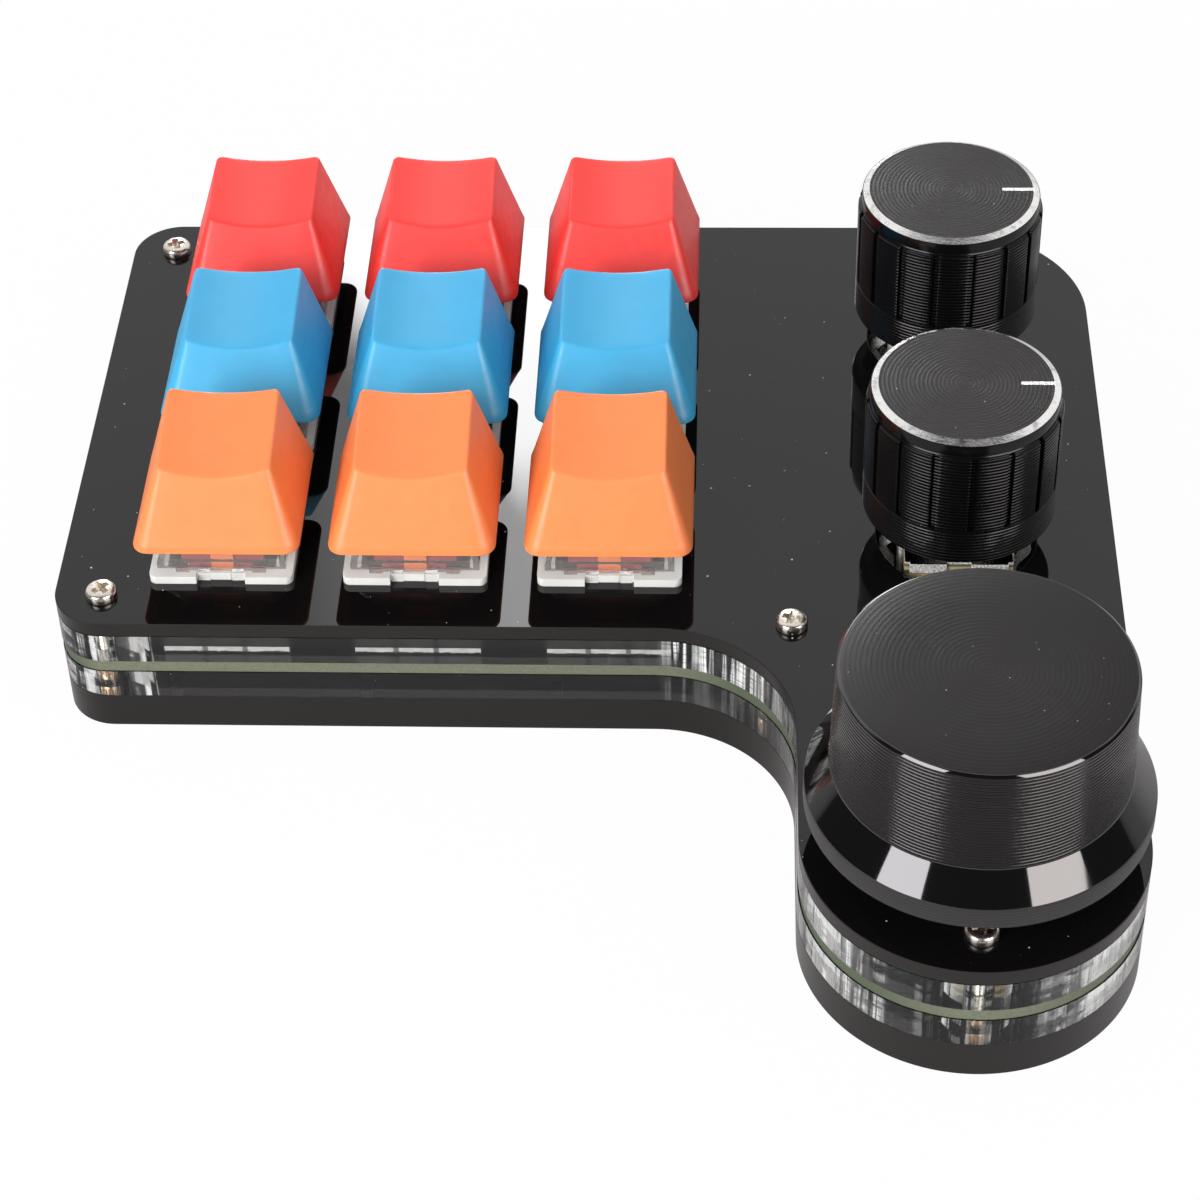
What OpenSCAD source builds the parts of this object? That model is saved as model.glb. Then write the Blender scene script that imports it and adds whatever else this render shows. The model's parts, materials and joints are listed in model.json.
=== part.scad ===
// Macro keypad: three rows of three keys and three rotary encoders with knobs, in a case of stacked sheets.
// Millimetres. +Z is up, the keys' rear row is towards +Y, and the case stands on z = 0.
// The origin is the centre of the case's plan, on its underside.

/* [Case outline] */
// Width of the case, left to right
case_w = 114.8; // [112:0.1:130]
// Depth of the case, from the leg's front to the rear edge
case_d = 119.1; // [116:0.1:130]
// Depth of the wing that carries the keys
wing_d = 71.8; // [70:0.1:76]
// Width of the leg that carries the large knob; its front end is a half circle
leg_w = 34.8; // [34.8:0.1:38]
// Radius of the two left-hand corners
corner_r = 5.5; // [2:0.1:8]
// Radius of the rear right corner
shoulder_r = 16.5; // [8:0.1:18]
// Radius of the inner corner between the wing and the leg
waist_r = 15; // [8:0.1:18]

/* [Case layers] */
// Thickness of the bottom plate
bottom_t = 4.6; // [3:0.1:6]
// Thickness of the lower clear spacer
lower_t = 3.6; // [3.4:0.1:5]
// Thickness of the circuit board
board_t = 1.5; // [1:0.1:2]
// Thickness of the upper clear spacer
upper_t = 3.7; // [3.5:0.1:5]
// Thickness of the top plate
top_t = 1.8; // [1.2:0.1:2]
// Width of the spacers' walls
spacer_wall = 4.5; // [2:0.1:5]
// Radius of the spacers' pads around the screws
pad_r = 5; // [3:0.1:6]
// How far the board's edge lies behind the edge of the plates
board_inset = 0.15; // [0:0.05:0.5]

/* [Case screws] */
// Radius of a screw's thread
screw_r = 1; // [0.8:0.05:1.2]
// Length of a screw below its head
screw_l = 12; // [9:0.5:12.5]
// Radius of a screw's head
screw_head_r = 1.7; // [1.5:0.05:2]
// Height of a screw's head
screw_head_h = 1.3; // [1:0.1:1.6]
// Radius of the sphere that domes a screw's head
screw_dome_r = 2.2; // [2.1:0.1:4]
// Length of a slot of the cross recess
recess_l = 1.9; // [1.2:0.1:2.2]
// Width of a slot of the cross recess
recess_w = 0.45; // [0.3:0.05:0.6]
// Depth of the cross recess
recess_deep = 0.7; // [0.4:0.1:0.9]
// Radial gap around a screw in the top plate, the board and the upper spacer
screw_gap = 0.3; // [0.1:0.05:0.5]
// Gap around the pins, pegs and legs that pass through the board
board_gap = 0.25; // [0.1:0.05:0.3]
// Radial gap between a screw and the bore of its insert
thread_gap = 0.05; // [0.02:0.01:0.1]
// Outer radius of a threaded insert
insert_r = 1.7; // [1.5:0.05:2]
// Length of a threaded insert
insert_l = 6; // [4:0.1:6]
// How far an insert sits in the bottom plate
insert_sink = 2.6; // [1.5:0.1:2.8]
// Radial gap around an insert in the lower spacer
insert_gap = 0.6; // [0.2:0.1:0.8]
// Distance of the rear left screw from both edges, and of the rear right one from the rear edge
screw_side = 5.2; // [4:0.1:7]
// Distance of the front left screw from the front edge
screw_front = 4.5; // [4:0.1:7]
// Distance of the waist screw from the inner corner's arc
waist_screw_inset = 6.4; // [5:0.1:8]
// Direction of the waist screw from the centre of the inner corner's arc
waist_screw_angle = 47; // [35:1:55]
// Distance of the lobe screw from the front of the leg
lobe_screw_inset = 4.8; // [3:0.1:5]

/* [Key grid] */
// Keys in a row
key_cols = 3; // [1:1:3]
// Rows of keys
key_rows = 3; // [1:1:3]
// Distance between keys, left to right
pitch_x = 21.05; // [19:0.05:21.5]
// Distance between rows
pitch_y = 22.1; // [19.05:0.05:22.4]
// Distance of the left column's axis from the left edge
first_key_left = 17.95; // [17:0.05:19]
// Distance of the rear row's axis from the rear edge
first_key_rear = 13.3; // [12.5:0.05:14]

/* [Switch] */
// Side of the square hole in the top plate
key_cut = 14; // [13.8:0.1:14.2]
// Gap between that hole and the switch body, each side
key_cut_gap = 0.1; // [0.05:0.05:0.2]
// Side of the lower housing's flange
flange_w = 15.6; // [15:0.1:16]
// Thickness of that flange
flange_t = 1; // [0.7:0.05:1]
// Radius of the flange's corners
flange_r = 0.8; // [0.3:0.1:1.5]
// Width of the flange's front and rear notches
notch_w = 5.3; // [3:0.1:6]
// Depth of those notches
notch_d = 0.8; // [0.4:0.1:0.9]
// Width of the catch in the middle of a notch
catch_w = 2.1; // [1.4:0.1:2.6]
// How far a catch stands out of its notch's floor
catch_d = 0.1; // [0.05:0.05:0.6]
// Wall of the lower housing
base_wall = 1; // [0.8:0.1:1.2]
// Floor of the lower housing
base_floor = 1.2; // [1:0.1:1.4]
// Radius of the locating peg under the housing
peg_r = 1.95; // [1.8:0.05:2]
// Length of that peg below the housing
peg_l = 3.2; // [2.5:0.1:3.2]
// Outer radius of the tube that guides the stem's pole
guide_r = 1.6; // [1.4:0.1:1.6]
// Height of that tube above the housing's floor
guide_h = 3.3; // [2:0.1:3.4]
// Closed end left at the tip of the peg
peg_end = 1.2; // [0.8:0.1:1.5]
// Side of the clear cover at its foot
cover_w = 14; // [13.6:0.1:14]
// Width of the clear cover's top
cover_top_w = 10.4; // [10.2:0.1:10.6]
// Depth of the clear cover's top
cover_top_d = 7.8; // [7.8:0.1:8]
// Height of the clear cover above the plate
cover_h = 6.6; // [6.5:0.1:6.7]
// Height at which the cover starts to narrow
cover_knee = 1.8; // [1.4:0.1:1.9]
// Wall of the clear cover
cover_wall = 0.7; // [0.6:0.05:0.75]
// Width of the raised middle of the cover's front and rear
cover_mid_w = 9.8; // [8:0.1:10]
// How far the cover stands back beside that middle
cover_step = 0.6; // [0.3:0.1:0.6]
// How far the cover's top stands back beside that middle
cover_top_step = 0.3; // [0.1:0.1:0.3]
// Width of the lamp recess in the cover's front
lamp_w = 6.9; // [4:0.1:8]
// Height of the lamp recess
lamp_h = 1.3; // [1:0.1:2.4]
// Depth of the lamp recess
lamp_d = 0.3; // [0.1:0.1:0.4]

/* [Stem and spring] */
// How far a key travels
key_travel = 4; // [3:0.1:4]
// Width of the stem's block
stem_w = 9; // [8.4:0.1:9.2]
// Depth of the stem's block
stem_d = 6.8; // [6.6:0.1:7]
// Height of the block's underside above the plate
stem_foot = 0.4; // [0.4:0.1:1]
// Gap between the rib of the block's apron and the cover's front wall
apron_gap = 0.5; // [0.4:0.05:0.8]
// Width of the rib down the middle of the apron
rib_w = 2.5; // [1.5:0.1:3]
// How far the apron stands back beside the rib
rib_d = 0.25; // [0.1:0.05:0.4]
// Gap between the block and the cover's ceiling at rest
stem_rest_gap = 0.05; // [0.02:0.01:0.1]
// Width of the stem's shoulder, which slides in the cover
shoulder_w = 7; // [6.6:0.1:7.2]
// Depth of the stem's shoulder
shoulder_d = 5.4; // [5.4:0.1:5.6]
// Gap around the shoulder in the cover
shoulder_gap = 0.2; // [0.1:0.05:0.25]
// Length of the cross post's arms, tip to tip
cross_l = 4; // [3.8:0.1:4.1]
// Width of the arms that run left to right
cross_w = 1.3; // [1.1:0.05:1.35]
// Width of the arms that run front to back
cross_v = 1.1; // [1:0.05:1.2]
// Height of the cross post
cross_h = 3.6; // [3:0.1:3.7]
// Gap between the cross post and its socket in the cap, each side
cross_gap = 0.05; // [0.02:0.01:0.08]
// Radius of the spring's hollow in the stem
stem_bore_r = 2.4; // [2.35:0.05:2.6]
// Thickness of the roof over that hollow
stem_roof = 0.85; // [0.7:0.05:1]
// Radius of the stem's pole
pole_r = 0.85; // [0.7:0.05:0.9]
// Length of the pole below the block's underside
pole_l = 3; // [2:0.1:3]
// Gap between the pole and its guide
pole_gap = 0.1; // [0.05:0.01:0.1]
// Radius of the spring, to the middle of its wire
spring_r = 2; // [1.95:0.01:2.05]
// Radius of the spring's wire
spring_wire_r = 0.13; // [0.1:0.01:0.15]
// Number of turns of the spring
spring_turns = 6.5; // [4:0.5:8]

/* [Contacts] */
// Radius of a contact pin
pin_r = 0.5; // [0.4:0.05:0.6]
// Place of the two pins from the key's axis
pin_places = [[-3.81, 2.54], [2.54, 5.08]];
// Thickness of a contact leaf
leaf_t = 0.2; // [0.15:0.05:0.3]
// Width of a contact leaf
leaf_w = 3.8; // [2:0.1:4]
// Height of a contact leaf above the housing's floor
leaf_h = 5.2; // [3:0.1:5.4]
// Distance of the first leaf behind the key's axis
leaf_y = 4.1; // [4:0.05:4.2]
// Distance from the first leaf to the second
leaf_step = 0.7; // [0.5:0.05:0.9]

/* [Keycaps] */
// Side of a cap at its foot
cap_w = 18.1; // [18:0.1:18.3]
// Radius of a cap's corners
cap_r = 1.6; // [0.8:0.1:2]
// Width of a cap's top
cap_top_w = 12.2; // [12:0.1:12.6]
// Height of a cap's foot above the plate
cap_foot = 5.35; // [5.35:0.05:6]
// Place of the top's rear edge behind the key's axis, rear row first
cap_rear_y = [6.9, 8.1, 7.2];
// Height of that edge above the plate, rear row first
cap_rear_z = [15.1, 14.4, 15.3];
// Place of the top's front edge, rear row first
cap_front_y = [-3.9, -3.9, -4.2];
// Height of that edge above the plate, rear row first
cap_front_z = [13.7, 13.2, 13.4];
// Wall of a cap
cap_wall = 1.3; // [1:0.05:1.3]
// Height of the hollow inside a cap
cap_hollow_h = 5.7; // [5.7:0.05:5.8]
// Radius of the round dish in a cap's top
dish_r = 23; // [21:1:60]
// Width of the flat rim left on each side of the dish
dish_rim = 0.15; // [0.1:0.05:0.6]
// Radius of the cap's tube that takes the stem
cap_tube_r = 2.7; // [2.65:0.01:2.72]
// Height of the tube's foot above the switch's shoulder
cap_tube_lift = 0.15; // [0.1:0.05:0.3]

/* [Encoders] */
// Distance of the small knobs' axis from the right edge
knob_side = 17.15; // [16.5:0.05:18]
// Distance of the rear knob's axis from the rear edge
knob_rear = 21.6; // [21:0.1:23]
// Distance between the two small knobs
knob_pitch = 34.7; // [30:0.1:36]
// Radius of the plate's holes around the encoders
encoder_hole_r = 8.75; // [8.7:0.05:9]
// Width of an encoder's base
encoder_w = 11.7; // [11.5:0.1:12]
// Depth of an encoder's base
encoder_d = 12; // [11.8:0.1:12.2]
// Height of an encoder's base above the board
encoder_h = 6.3; // [6:0.1:6.4]
// Thickness of the encoder's sheet cover
sheet_t = 0.4; // [0.3:0.05:0.5]
// Width of the cover's side straps
strap_w = 4.4; // [3:0.1:5]
// Width of the cover's legs through the board
leg_tab_w = 2; // [1.5:0.1:2.4]
// Depth of the cover's front and rear lips
lip_h = 1.3; // [0.8:0.1:2]
// Width of the gap in the middle of each lip
lip_gap = 2.6; // [1:0.1:4]
// Length of each lip, end to end
lip_l = 10.6; // [8:0.1:11]
// Radius of the chamber in the base
chamber_r = 4.9; // [4.8:0.05:5.2]
// Floor under that chamber
chamber_floor = 1; // [0.8:0.1:1.1]
// Radius of the rotor's disc
rotor_r = 4.6; // [4.2:0.05:4.6]
// Height of the rotor's disc above the board
rotor_z = 2.9; // [2.7:0.1:3]
// Thickness of the rotor's disc
rotor_t = 1.2; // [0.8:0.1:1.4]
// Radius of the rotor's hub
hub_r = 3.6; // [3.2:0.1:3.9]
// Gap between the hub and the cover
hub_gap = 0.2; // [0.1:0.05:0.3]
// Radius of the shaft
shaft_r = 3; // [2.8:0.1:3]
// Radius of the shaft's lower end, in the rotor
tail_r = 2.2; // [2:0.1:2.4]
// Distance of the flats on the shaft from its axis, as a share of its radius
shaft_flat = 0.75; // [0.7:0.05:0.9]
// Running gap around the shaft
shaft_gap = 0.05; // [0.03:0.01:0.09]
// Length of the shaft above the sheet cover
shaft_l = 15; // [14:0.1:15.4]
// Length of the flat at the shaft's top
shaft_flat_l = 7; // [5:0.1:7.2]
// Radius of the threaded bushing
bushing_r = 3.45; // [3.4:0.05:3.6]
// Height of the threaded bushing
bushing_h = 7; // [6:0.1:7]
// Radius of the bushing's foot
bushing_foot_r = 4.5; // [4:0.1:5]
// Thickness of the bushing's foot
bushing_foot_t = 0.8; // [0.5:0.1:1]
// Pitch of the bushing's thread
thread_pitch = 0.75; // [0.5:0.05:1]
// Depth of the bushing's thread
thread_deep = 0.18; // [0.1:0.01:0.22]
// How far a knob can be pressed
push_travel = 0.5; // [0.3:0.1:0.5]
// Radius of the push dome
dome_r = 2; // [1.6:0.1:2.2]
// Height of the push dome
dome_h = 0.5; // [0.3:0.1:0.5]
// Gap between the pressed shaft and the dome
dome_gap = 0.2; // [0.1:0.05:0.25]
// Pitch of the encoder's terminals
terminal_pitch = 2.5; // [2:0.1:2.6]
// Width of a terminal
terminal_w = 0.8; // [0.6:0.1:1]
// Height of a terminal's root above the board
terminal_z = 1.3; // [0.5:0.1:3]
// How far a terminal stands out of the base
terminal_out = 1.2; // [1:0.1:1.5]
// Length of pins and legs below the board's top
tail_l = 3; // [2.5:0.1:3.5]

/* [Small knobs] */
// Height of a small knob's foot above the plate
knob_lift = 5; // [4.6:0.1:6]
// Height of a small knob
knob_h = 16.1; // [15.5:0.1:17]
// Radius of the black face on top
knob_face_r = 9.2; // [8.8:0.05:9.4]
// Radius of the band below the bright edge
knob_band_r = 10; // [9.8:0.05:10.1]
// Radius of the grip
knob_grip_r = 10.4; // [10.2:0.05:10.6]
// Height of the bright edge
edge_h = 0.4; // [0.3:0.05:0.6]
// Height of the band below the bright edge
band_h = 1.3; // [1:0.1:1.6]
// Height of the slope between the band and the grip
ledge_h = 0.5; // [0.3:0.1:0.7]
// Height of the plain foot below the flutes
knob_foot_h = 4.4; // [3:0.1:5]
// Number of flutes around the grip
flutes = 16; // [8:1:24]
// Width of a flute
flute_w = 0.65; // [0.4:0.05:0.9]
// Depth of a flute
flute_deep = 0.5; // [0.3:0.05:0.6]
// How far a flute ends below the band
flute_end = 0.1; // [0.05:0.05:0.2]
// Turn of the flutes against the pointer line, rear knob first
flute_turn = [11.25, 2.7];
// Inner end of the pointer line, from the axis
pointer_in = 5.7; // [4:0.1:7]
// Width of the pointer line
pointer_w = 0.55; // [0.4:0.05:0.8]
// Depth of the pointer line
pointer_deep = 0.15; // [0.1:0.05:0.3]
// Radius of the hollow that takes the core
core_r = 8.3; // [7.8:0.1:8.6]
// Thickness of the knob's top
knob_top_t = 3; // [2:0.1:3.2]
// Gap between a core and its knob
core_gap = 0.05; // [0.02:0.01:0.1]
// How far the core's foot is set back into the knob
core_sink = 0.6; // [0.3:0.1:1]
// Inner radius of the core's relief ring
relief_in = 5.6; // [5.4:0.1:6]
// Outer radius of the core's relief ring
relief_out = 7.2; // [6.8:0.1:7.4]
// Height of the core's relief ring
relief_h = 9; // [6:0.1:10]
// Radial gap around the bushing inside a knob
bushing_gap = 0.85; // [0.4:0.05:1]

/* [Large knob] */
// Height of the large knob's foot above the plate
large_lift = 6; // [5:0.1:7]
// Height of the large knob
large_h = 17.4; // [16.5:0.1:19]
// Radius of the rim of the skirt
rim_r = 17.1; // [16.5:0.05:17.3]
// Height of that rim
rim_h = 2.4; // [1.5:0.1:3]
// Height of the skirt's slope
skirt_h = 3.1; // [2:0.1:4]
// Radius at the foot of the knob's side
large_foot_r = 14.7; // [14:0.05:15]
// Radius at the top of the knob's side
large_top_r = 14.3; // [13.8:0.05:14.6]
// Size of the polished edge around the top
large_edge = 0.25; // [0.1:0.05:0.5]
// Radius of the hollow under the knob
large_hollow_r = 12; // [11:0.1:12.5]
// Thickness of the knob's top
large_top_t = 4; // [3:0.1:5]
// Radius of the hub inside the knob
large_hub_r = 6.5; // [6:0.1:7]
// How far the hub's foot is set back
large_hub_sink = 1; // [0.5:0.1:1.5]
// Radius of the set screw
set_screw_r = 1.45; // [1:0.05:1.5]
// Length of the set screw
set_screw_l = 4; // [3:0.1:4.1]
// Height of the set screw above the knob's foot
set_screw_z = 7.6; // [7:0.1:8.6]
// Width across the flats of the set screw's hexagon socket
hex_w = 1.5; // [1:0.1:1.6]
// Depth of the hexagon socket
hex_deep = 2; // [1:0.1:3]

/* [Electronics] */
// Distance of the USB socket from the middle of the gap between the keys and the knobs
usb_shift = -0.8; // [-3:0.1:3]
// Width of the USB socket
usb_w = 8.94; // [8.9:0.01:9]
// Height of the USB socket
usb_h = 3.2; // [3.1:0.05:3.3]
// Length of the USB socket
usb_l = 7.35; // [7:0.05:8]
// Thickness of the socket's shell
usb_shell = 0.3; // [0.2:0.05:0.35]
// How far the socket's mouth is behind the rear edge
usb_sink = 0.2; // [0.1:0.1:0.5]
// Gap around the socket in the upper spacer
usb_gap = 0.25; // [0.1:0.05:0.4]
// Thickness of the block at the back of the socket
usb_block = 1.6; // [1:0.1:2]
// Width of the tongue
tongue_w = 6.7; // [6:0.1:6.8]
// Thickness of the tongue
tongue_t = 0.7; // [0.6:0.05:0.8]
// Length of the tongue, in front of its block
tongue_l = 4.4; // [4:0.1:4.6]
// Side of the controller chip
chip_w = 7; // [5:0.5:10]
// Height of the controller chip
chip_h = 1; // [0.8:0.1:1.6]
// Leads on each side of the chip
chip_leads = 8; // [4:1:12]
// Length of the chip's leads
lead_l = 1; // [0.6:0.1:1.4]
// Distance of the chip from the rear edge
chip_rear = 24; // [20:0.5:28]
// Size of the crystal
crystal_size = [3.2, 2.5, 0.8];
// Distance of the crystal in front of the chip's centre
crystal_front = 9; // [8:0.5:14]
// Size of a diode's body
diode_size = [1.2, 1.8, 1];
// Thickness of a diode's end caps
diode_end = 0.35; // [0.2:0.05:0.5]
// Place of a diode from its key's axis
diode_place = [-5.9, -7.5];
// Size of a chip capacitor
capacitor_size = [2, 1.25, 1.2];
// Places of the capacitors beside the chip, from its centre
capacitor_places = [[-6.6, 3], [-6.6, -3], [6.6, 3], [6.6, -3]];
// Direction of the capacitor beside the large knob's encoder, from its axis
lobe_capacitor_angle = 239; // [225:1:250]
// Gap between that capacitor and the spacer's wall
lobe_capacitor_gap = 0.7; // [0.3:0.1:1.5]

/* [Hidden] */
$fn = 64;
// A cut's overrun past the face it opens, and a joined solid's overlap into its neighbour
over = 0.5;
fuse = 0.01;
// Facets of a hull's round corners
hull_fn = 32;
// Facets of the spring: steps in a turn, and sides of the wire
spring_steps = 10;
wire_sides = 4;

// Levels, from the underside up
z_lower = bottom_t;
z_board = z_lower + lower_t;
z_upper = z_board + board_t;
z_top = z_upper + upper_t;
z_face = z_top + top_t;

// Plan of the case
left_x = -case_w / 2;
right_x = case_w / 2;
rear_y = case_d / 2;
front_y = -case_d / 2;
wing_y = rear_y - wing_d;
leg_x = right_x - leg_w;
leg_r = leg_w / 2;
lobe = [right_x - leg_r, front_y + leg_r];
waist = [leg_x - waist_r, wing_y - waist_r];
inner_corner_min = 0.5;

screw_places = [
    [left_x + screw_side, rear_y - screw_side],
    [left_x + screw_side, wing_y + screw_front],
    waist + (waist_r + waist_screw_inset) * [cos(waist_screw_angle), sin(waist_screw_angle)],
    [lobe.x, front_y + lobe_screw_inset],
    [lobe.x, rear_y - screw_side]
];
screw_hole_r = screw_r + screw_gap;

// Switch levels, from the plate's face
body_w = key_cut - 2 * key_cut_gap;
base_deep = top_t + upper_t;
base_floor_z = base_floor - base_deep;
cover_ceiling = cover_h - cover_wall;
block_top = cover_ceiling - stem_rest_gap;
hollow_top = block_top - stem_roof;
guide_bore_r = pole_r + pole_gap;
cap_ceiling = cap_foot + cap_hollow_h;
cap_tube_foot = cover_h + cap_tube_lift;

// Encoder levels, from the board's top
cover_z = encoder_h + sheet_t;
shaft_foot = chamber_floor + dome_h + dome_gap + push_travel;
shaft_step = encoder_h + push_travel;
rotor_top = encoder_h - hub_gap;
shaft_top = cover_z + shaft_l;
bore_end_gap = 0.2;
small_knob_z = z_face + knob_lift;
large_knob_z = z_face + large_lift;
bushing_clear_r = bushing_r + bushing_gap;
press_room = 0.4;
bushing_clear_z = z_upper + cover_z + bushing_h + push_travel + press_room;
small_axis_x = right_x - knob_side;
encoder_places = [
    [small_axis_x, rear_y - knob_rear],
    [small_axis_x, rear_y - knob_rear - knob_pitch],
    lobe
];
REAR = 0;
MIDDLE = 1;
FRONT = 2;
LARGE = 2;

// Electronics
keys_right = key_x(key_cols - 1) + cap_w / 2;
usb_x = (keys_right + small_axis_x - knob_grip_r) / 2 + usb_shift;
lobe_capacitor_r = leg_r - spacer_wall - lobe_capacitor_gap - norm([capacitor_size.x, capacitor_size.y]) / 2;

cap_colors = ["#e8363c", "#2f9fe0", "#ff9a4d"];
black = "#151517";
clear = [0.86, 0.9, 0.92, 0.45];

// Functions that place keys
function key_x(col) = left_x + first_key_left + col * pitch_x;
function key_y(row) = rear_y - first_key_rear - row * pitch_y;

// ---- Shared shapes ----

// The case's plan, with its edge moved in by inset
module outline(inset = 0) {
    far_y = rear_y - inset;
    difference() {
        union() {
            translate([left_x + inset, wing_y + inset])
                square([case_w - 2 * inset, wing_d - 2 * inset]);
            translate([leg_x + inset, lobe.y])
                square([leg_w - 2 * inset, far_y - lobe.y]);
            translate(lobe)
                circle(r = leg_r - inset);
            difference() {
                translate(waist)
                    square(waist_r + inset + fuse);
                translate(waist)
                    circle(r = waist_r + inset);
            }
        }
        corner_cut([left_x + inset, wing_y + inset], corner_r - inset, 0);
        corner_cut([left_x + inset, far_y], corner_r - inset, -90);
        corner_cut([right_x - inset, far_y], shoulder_r - inset, 180);
    }
}

// What rounding a corner takes away
module corner_cut(corner, r, turn) {
    round_r = max(r, inner_corner_min);
    translate(corner)
        rotate(turn)
            difference() {
                translate([-over, -over])
                    square(round_r + over);
                translate([round_r, round_r])
                    circle(r = round_r);
            }
}

module at_screws() {
    for (place = screw_places)
        translate([place.x, place.y, 0])
            children();
}

// Every key's axis, at the plate's face
module at_keys() {
    for (row = [0 : key_rows - 1], col = [0 : key_cols - 1])
        at_key(row, col)
            children();
}

module at_key(row, col) {
    if (row < key_rows && col < key_cols)
        translate([key_x(col), key_y(row), z_face])
            children();
}

// Every encoder's axis, at the board's top
module at_encoders() {
    for (index = [0 : len(encoder_places) - 1])
        at_encoder(index)
            children();
}

module at_encoder(index) {
    translate([encoder_places[index].x, encoder_places[index].y, z_upper])
        children();
}

// A block, centred in plan, with its foot at z = 0
module block(size) {
    translate([-size.x / 2, -size.y / 2, 0])
        cube(size);
}

// A rectangle with round corners, centred
module round_rect(w, d, r) {
    square([w - 2 * r, d], center = true);
    square([w, d - 2 * r], center = true);
    for (x = [-1, 1], y = [-1, 1])
        translate([x * (w / 2 - r), y * (d / 2 - r)])
            circle(r = r);
}

// A block that narrows upwards: foot w0 by y0, top w1 by y1, where y0 and y1 are [front, rear]
module tapered(w0, w1, y0, y1, h) {
    reach = 2 * max(w0, y0[1] - y0[0]);
    intersection() {
        rotate([90, 0, 0])
            linear_extrude(reach, center = true)
                polygon([[-w0 / 2, 0], [w0 / 2, 0], [w1 / 2, h], [-w1 / 2, h]]);
        rotate([90, 0, 90])
            linear_extrude(reach, center = true)
                polygon([[y0[0], 0], [y0[1], 0], [y1[1], h], [y1[0], h]]);
    }
}

// A shaft with one flat, at flat_share of its radius
module flatted(r, h, flat_share) {
    intersection() {
        cylinder(r = r, h = h);
        translate([-r, -r, 0])
            cube([2 * r, r + r * flat_share, h]);
    }
}

// ---- Case ----

module bottom_plate() {
    color(black)
        difference() {
            linear_extrude(bottom_t)
                outline();
            at_screws()
                translate([0, 0, bottom_t - insert_sink])
                    cylinder(r = insert_r, h = insert_sink + over);
        }
}

// Wall and screw pads shared by the two clear spacers
module spacer(thick, hole_r) {
    linear_extrude(thick)
        difference() {
            outline();
            difference() {
                outline(spacer_wall);
                for (place = screw_places)
                    translate(place)
                        circle(r = pad_r);
            }
            for (place = screw_places)
                translate(place)
                    circle(r = hole_r);
        }
}

module lower_spacer() {
    color(clear)
        translate([0, 0, z_lower])
            spacer(lower_t, insert_r + insert_gap);
}

module upper_spacer() {
    slot_w = usb_w + 2 * usb_gap;
    color(clear)
        difference() {
            translate([0, 0, z_upper])
                spacer(upper_t, screw_hole_r);
            translate([usb_x - slot_w / 2, rear_y - spacer_wall - over, z_upper - over])
                cube([slot_w, spacer_wall + 2 * over, upper_t + 2 * over]);
        }
}

module circuit_board() {
    color("#1d2a22")
        difference() {
            translate([0, 0, z_board])
                linear_extrude(board_t)
                    outline(board_inset);
            at_screws()
                translate([0, 0, z_board - over])
                    cylinder(r = screw_hole_r, h = board_t + 2 * over);
            at_keys()
                translate([0, 0, z_board - z_face - over]) {
                    cylinder(r = peg_r + board_gap, h = board_t + 2 * over);
                    for (place = pin_places)
                        translate([place.x, place.y, 0])
                            cylinder(r = pin_r + board_gap, h = board_t + 2 * over);
                }
            at_encoders()
                translate([0, 0, -board_t])
                    encoder_slots();
        }
}

// Slots in the board for an encoder's legs and terminals
module encoder_slots() {
    for (side = [-1, 1])
        translate([side * (encoder_w / 2 + sheet_t / 2), 0, -over])
            block([sheet_t + 2 * board_gap, leg_tab_w + 2 * board_gap, board_t + 2 * over]);
    at_terminals()
        translate([0, 0, -over])
            block([terminal_w + 2 * board_gap, sheet_t + 2 * board_gap, board_t + 2 * over]);
}

module top_plate() {
    color(black)
        difference() {
            translate([0, 0, z_top])
                linear_extrude(top_t)
                    outline();
            at_screws()
                translate([0, 0, z_top - over])
                    cylinder(r = screw_hole_r, h = top_t + 2 * over);
            at_keys()
                translate([0, 0, -top_t - over])
                    block([key_cut, key_cut, top_t + 2 * over]);
            at_encoders()
                translate([0, 0, z_top - z_upper - over])
                    cylinder(r = encoder_hole_r, h = top_t + 2 * over);
        }
}

module case_screws() {
    color("silver")
        at_screws()
            translate([0, 0, z_face]) {
                difference() {
                    intersection() {
                        cylinder(r = screw_head_r, h = screw_head_h);
                        translate([0, 0, screw_head_h - screw_dome_r])
                            sphere(r = screw_dome_r);
                    }
                    for (turn = [0, 90])
                        rotate(turn)
                            translate([0, 0, screw_head_h - recess_deep])
                                block([recess_l, recess_w, recess_deep + over]);
                }
                translate([0, 0, -screw_l])
                    cylinder(r = screw_r, h = screw_l + fuse);
            }
}

module screw_inserts() {
    color("#b5813f")
        at_screws()
            translate([0, 0, bottom_t - insert_sink])
                difference() {
                    cylinder(r = insert_r, h = insert_l);
                    translate([0, 0, -over])
                        cylinder(r = screw_r + thread_gap, h = insert_l + 2 * over);
                }
}

// ---- Switches ----

module switch_bases() {
    color("white")
        at_keys()
            switch_base();
}

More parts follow.
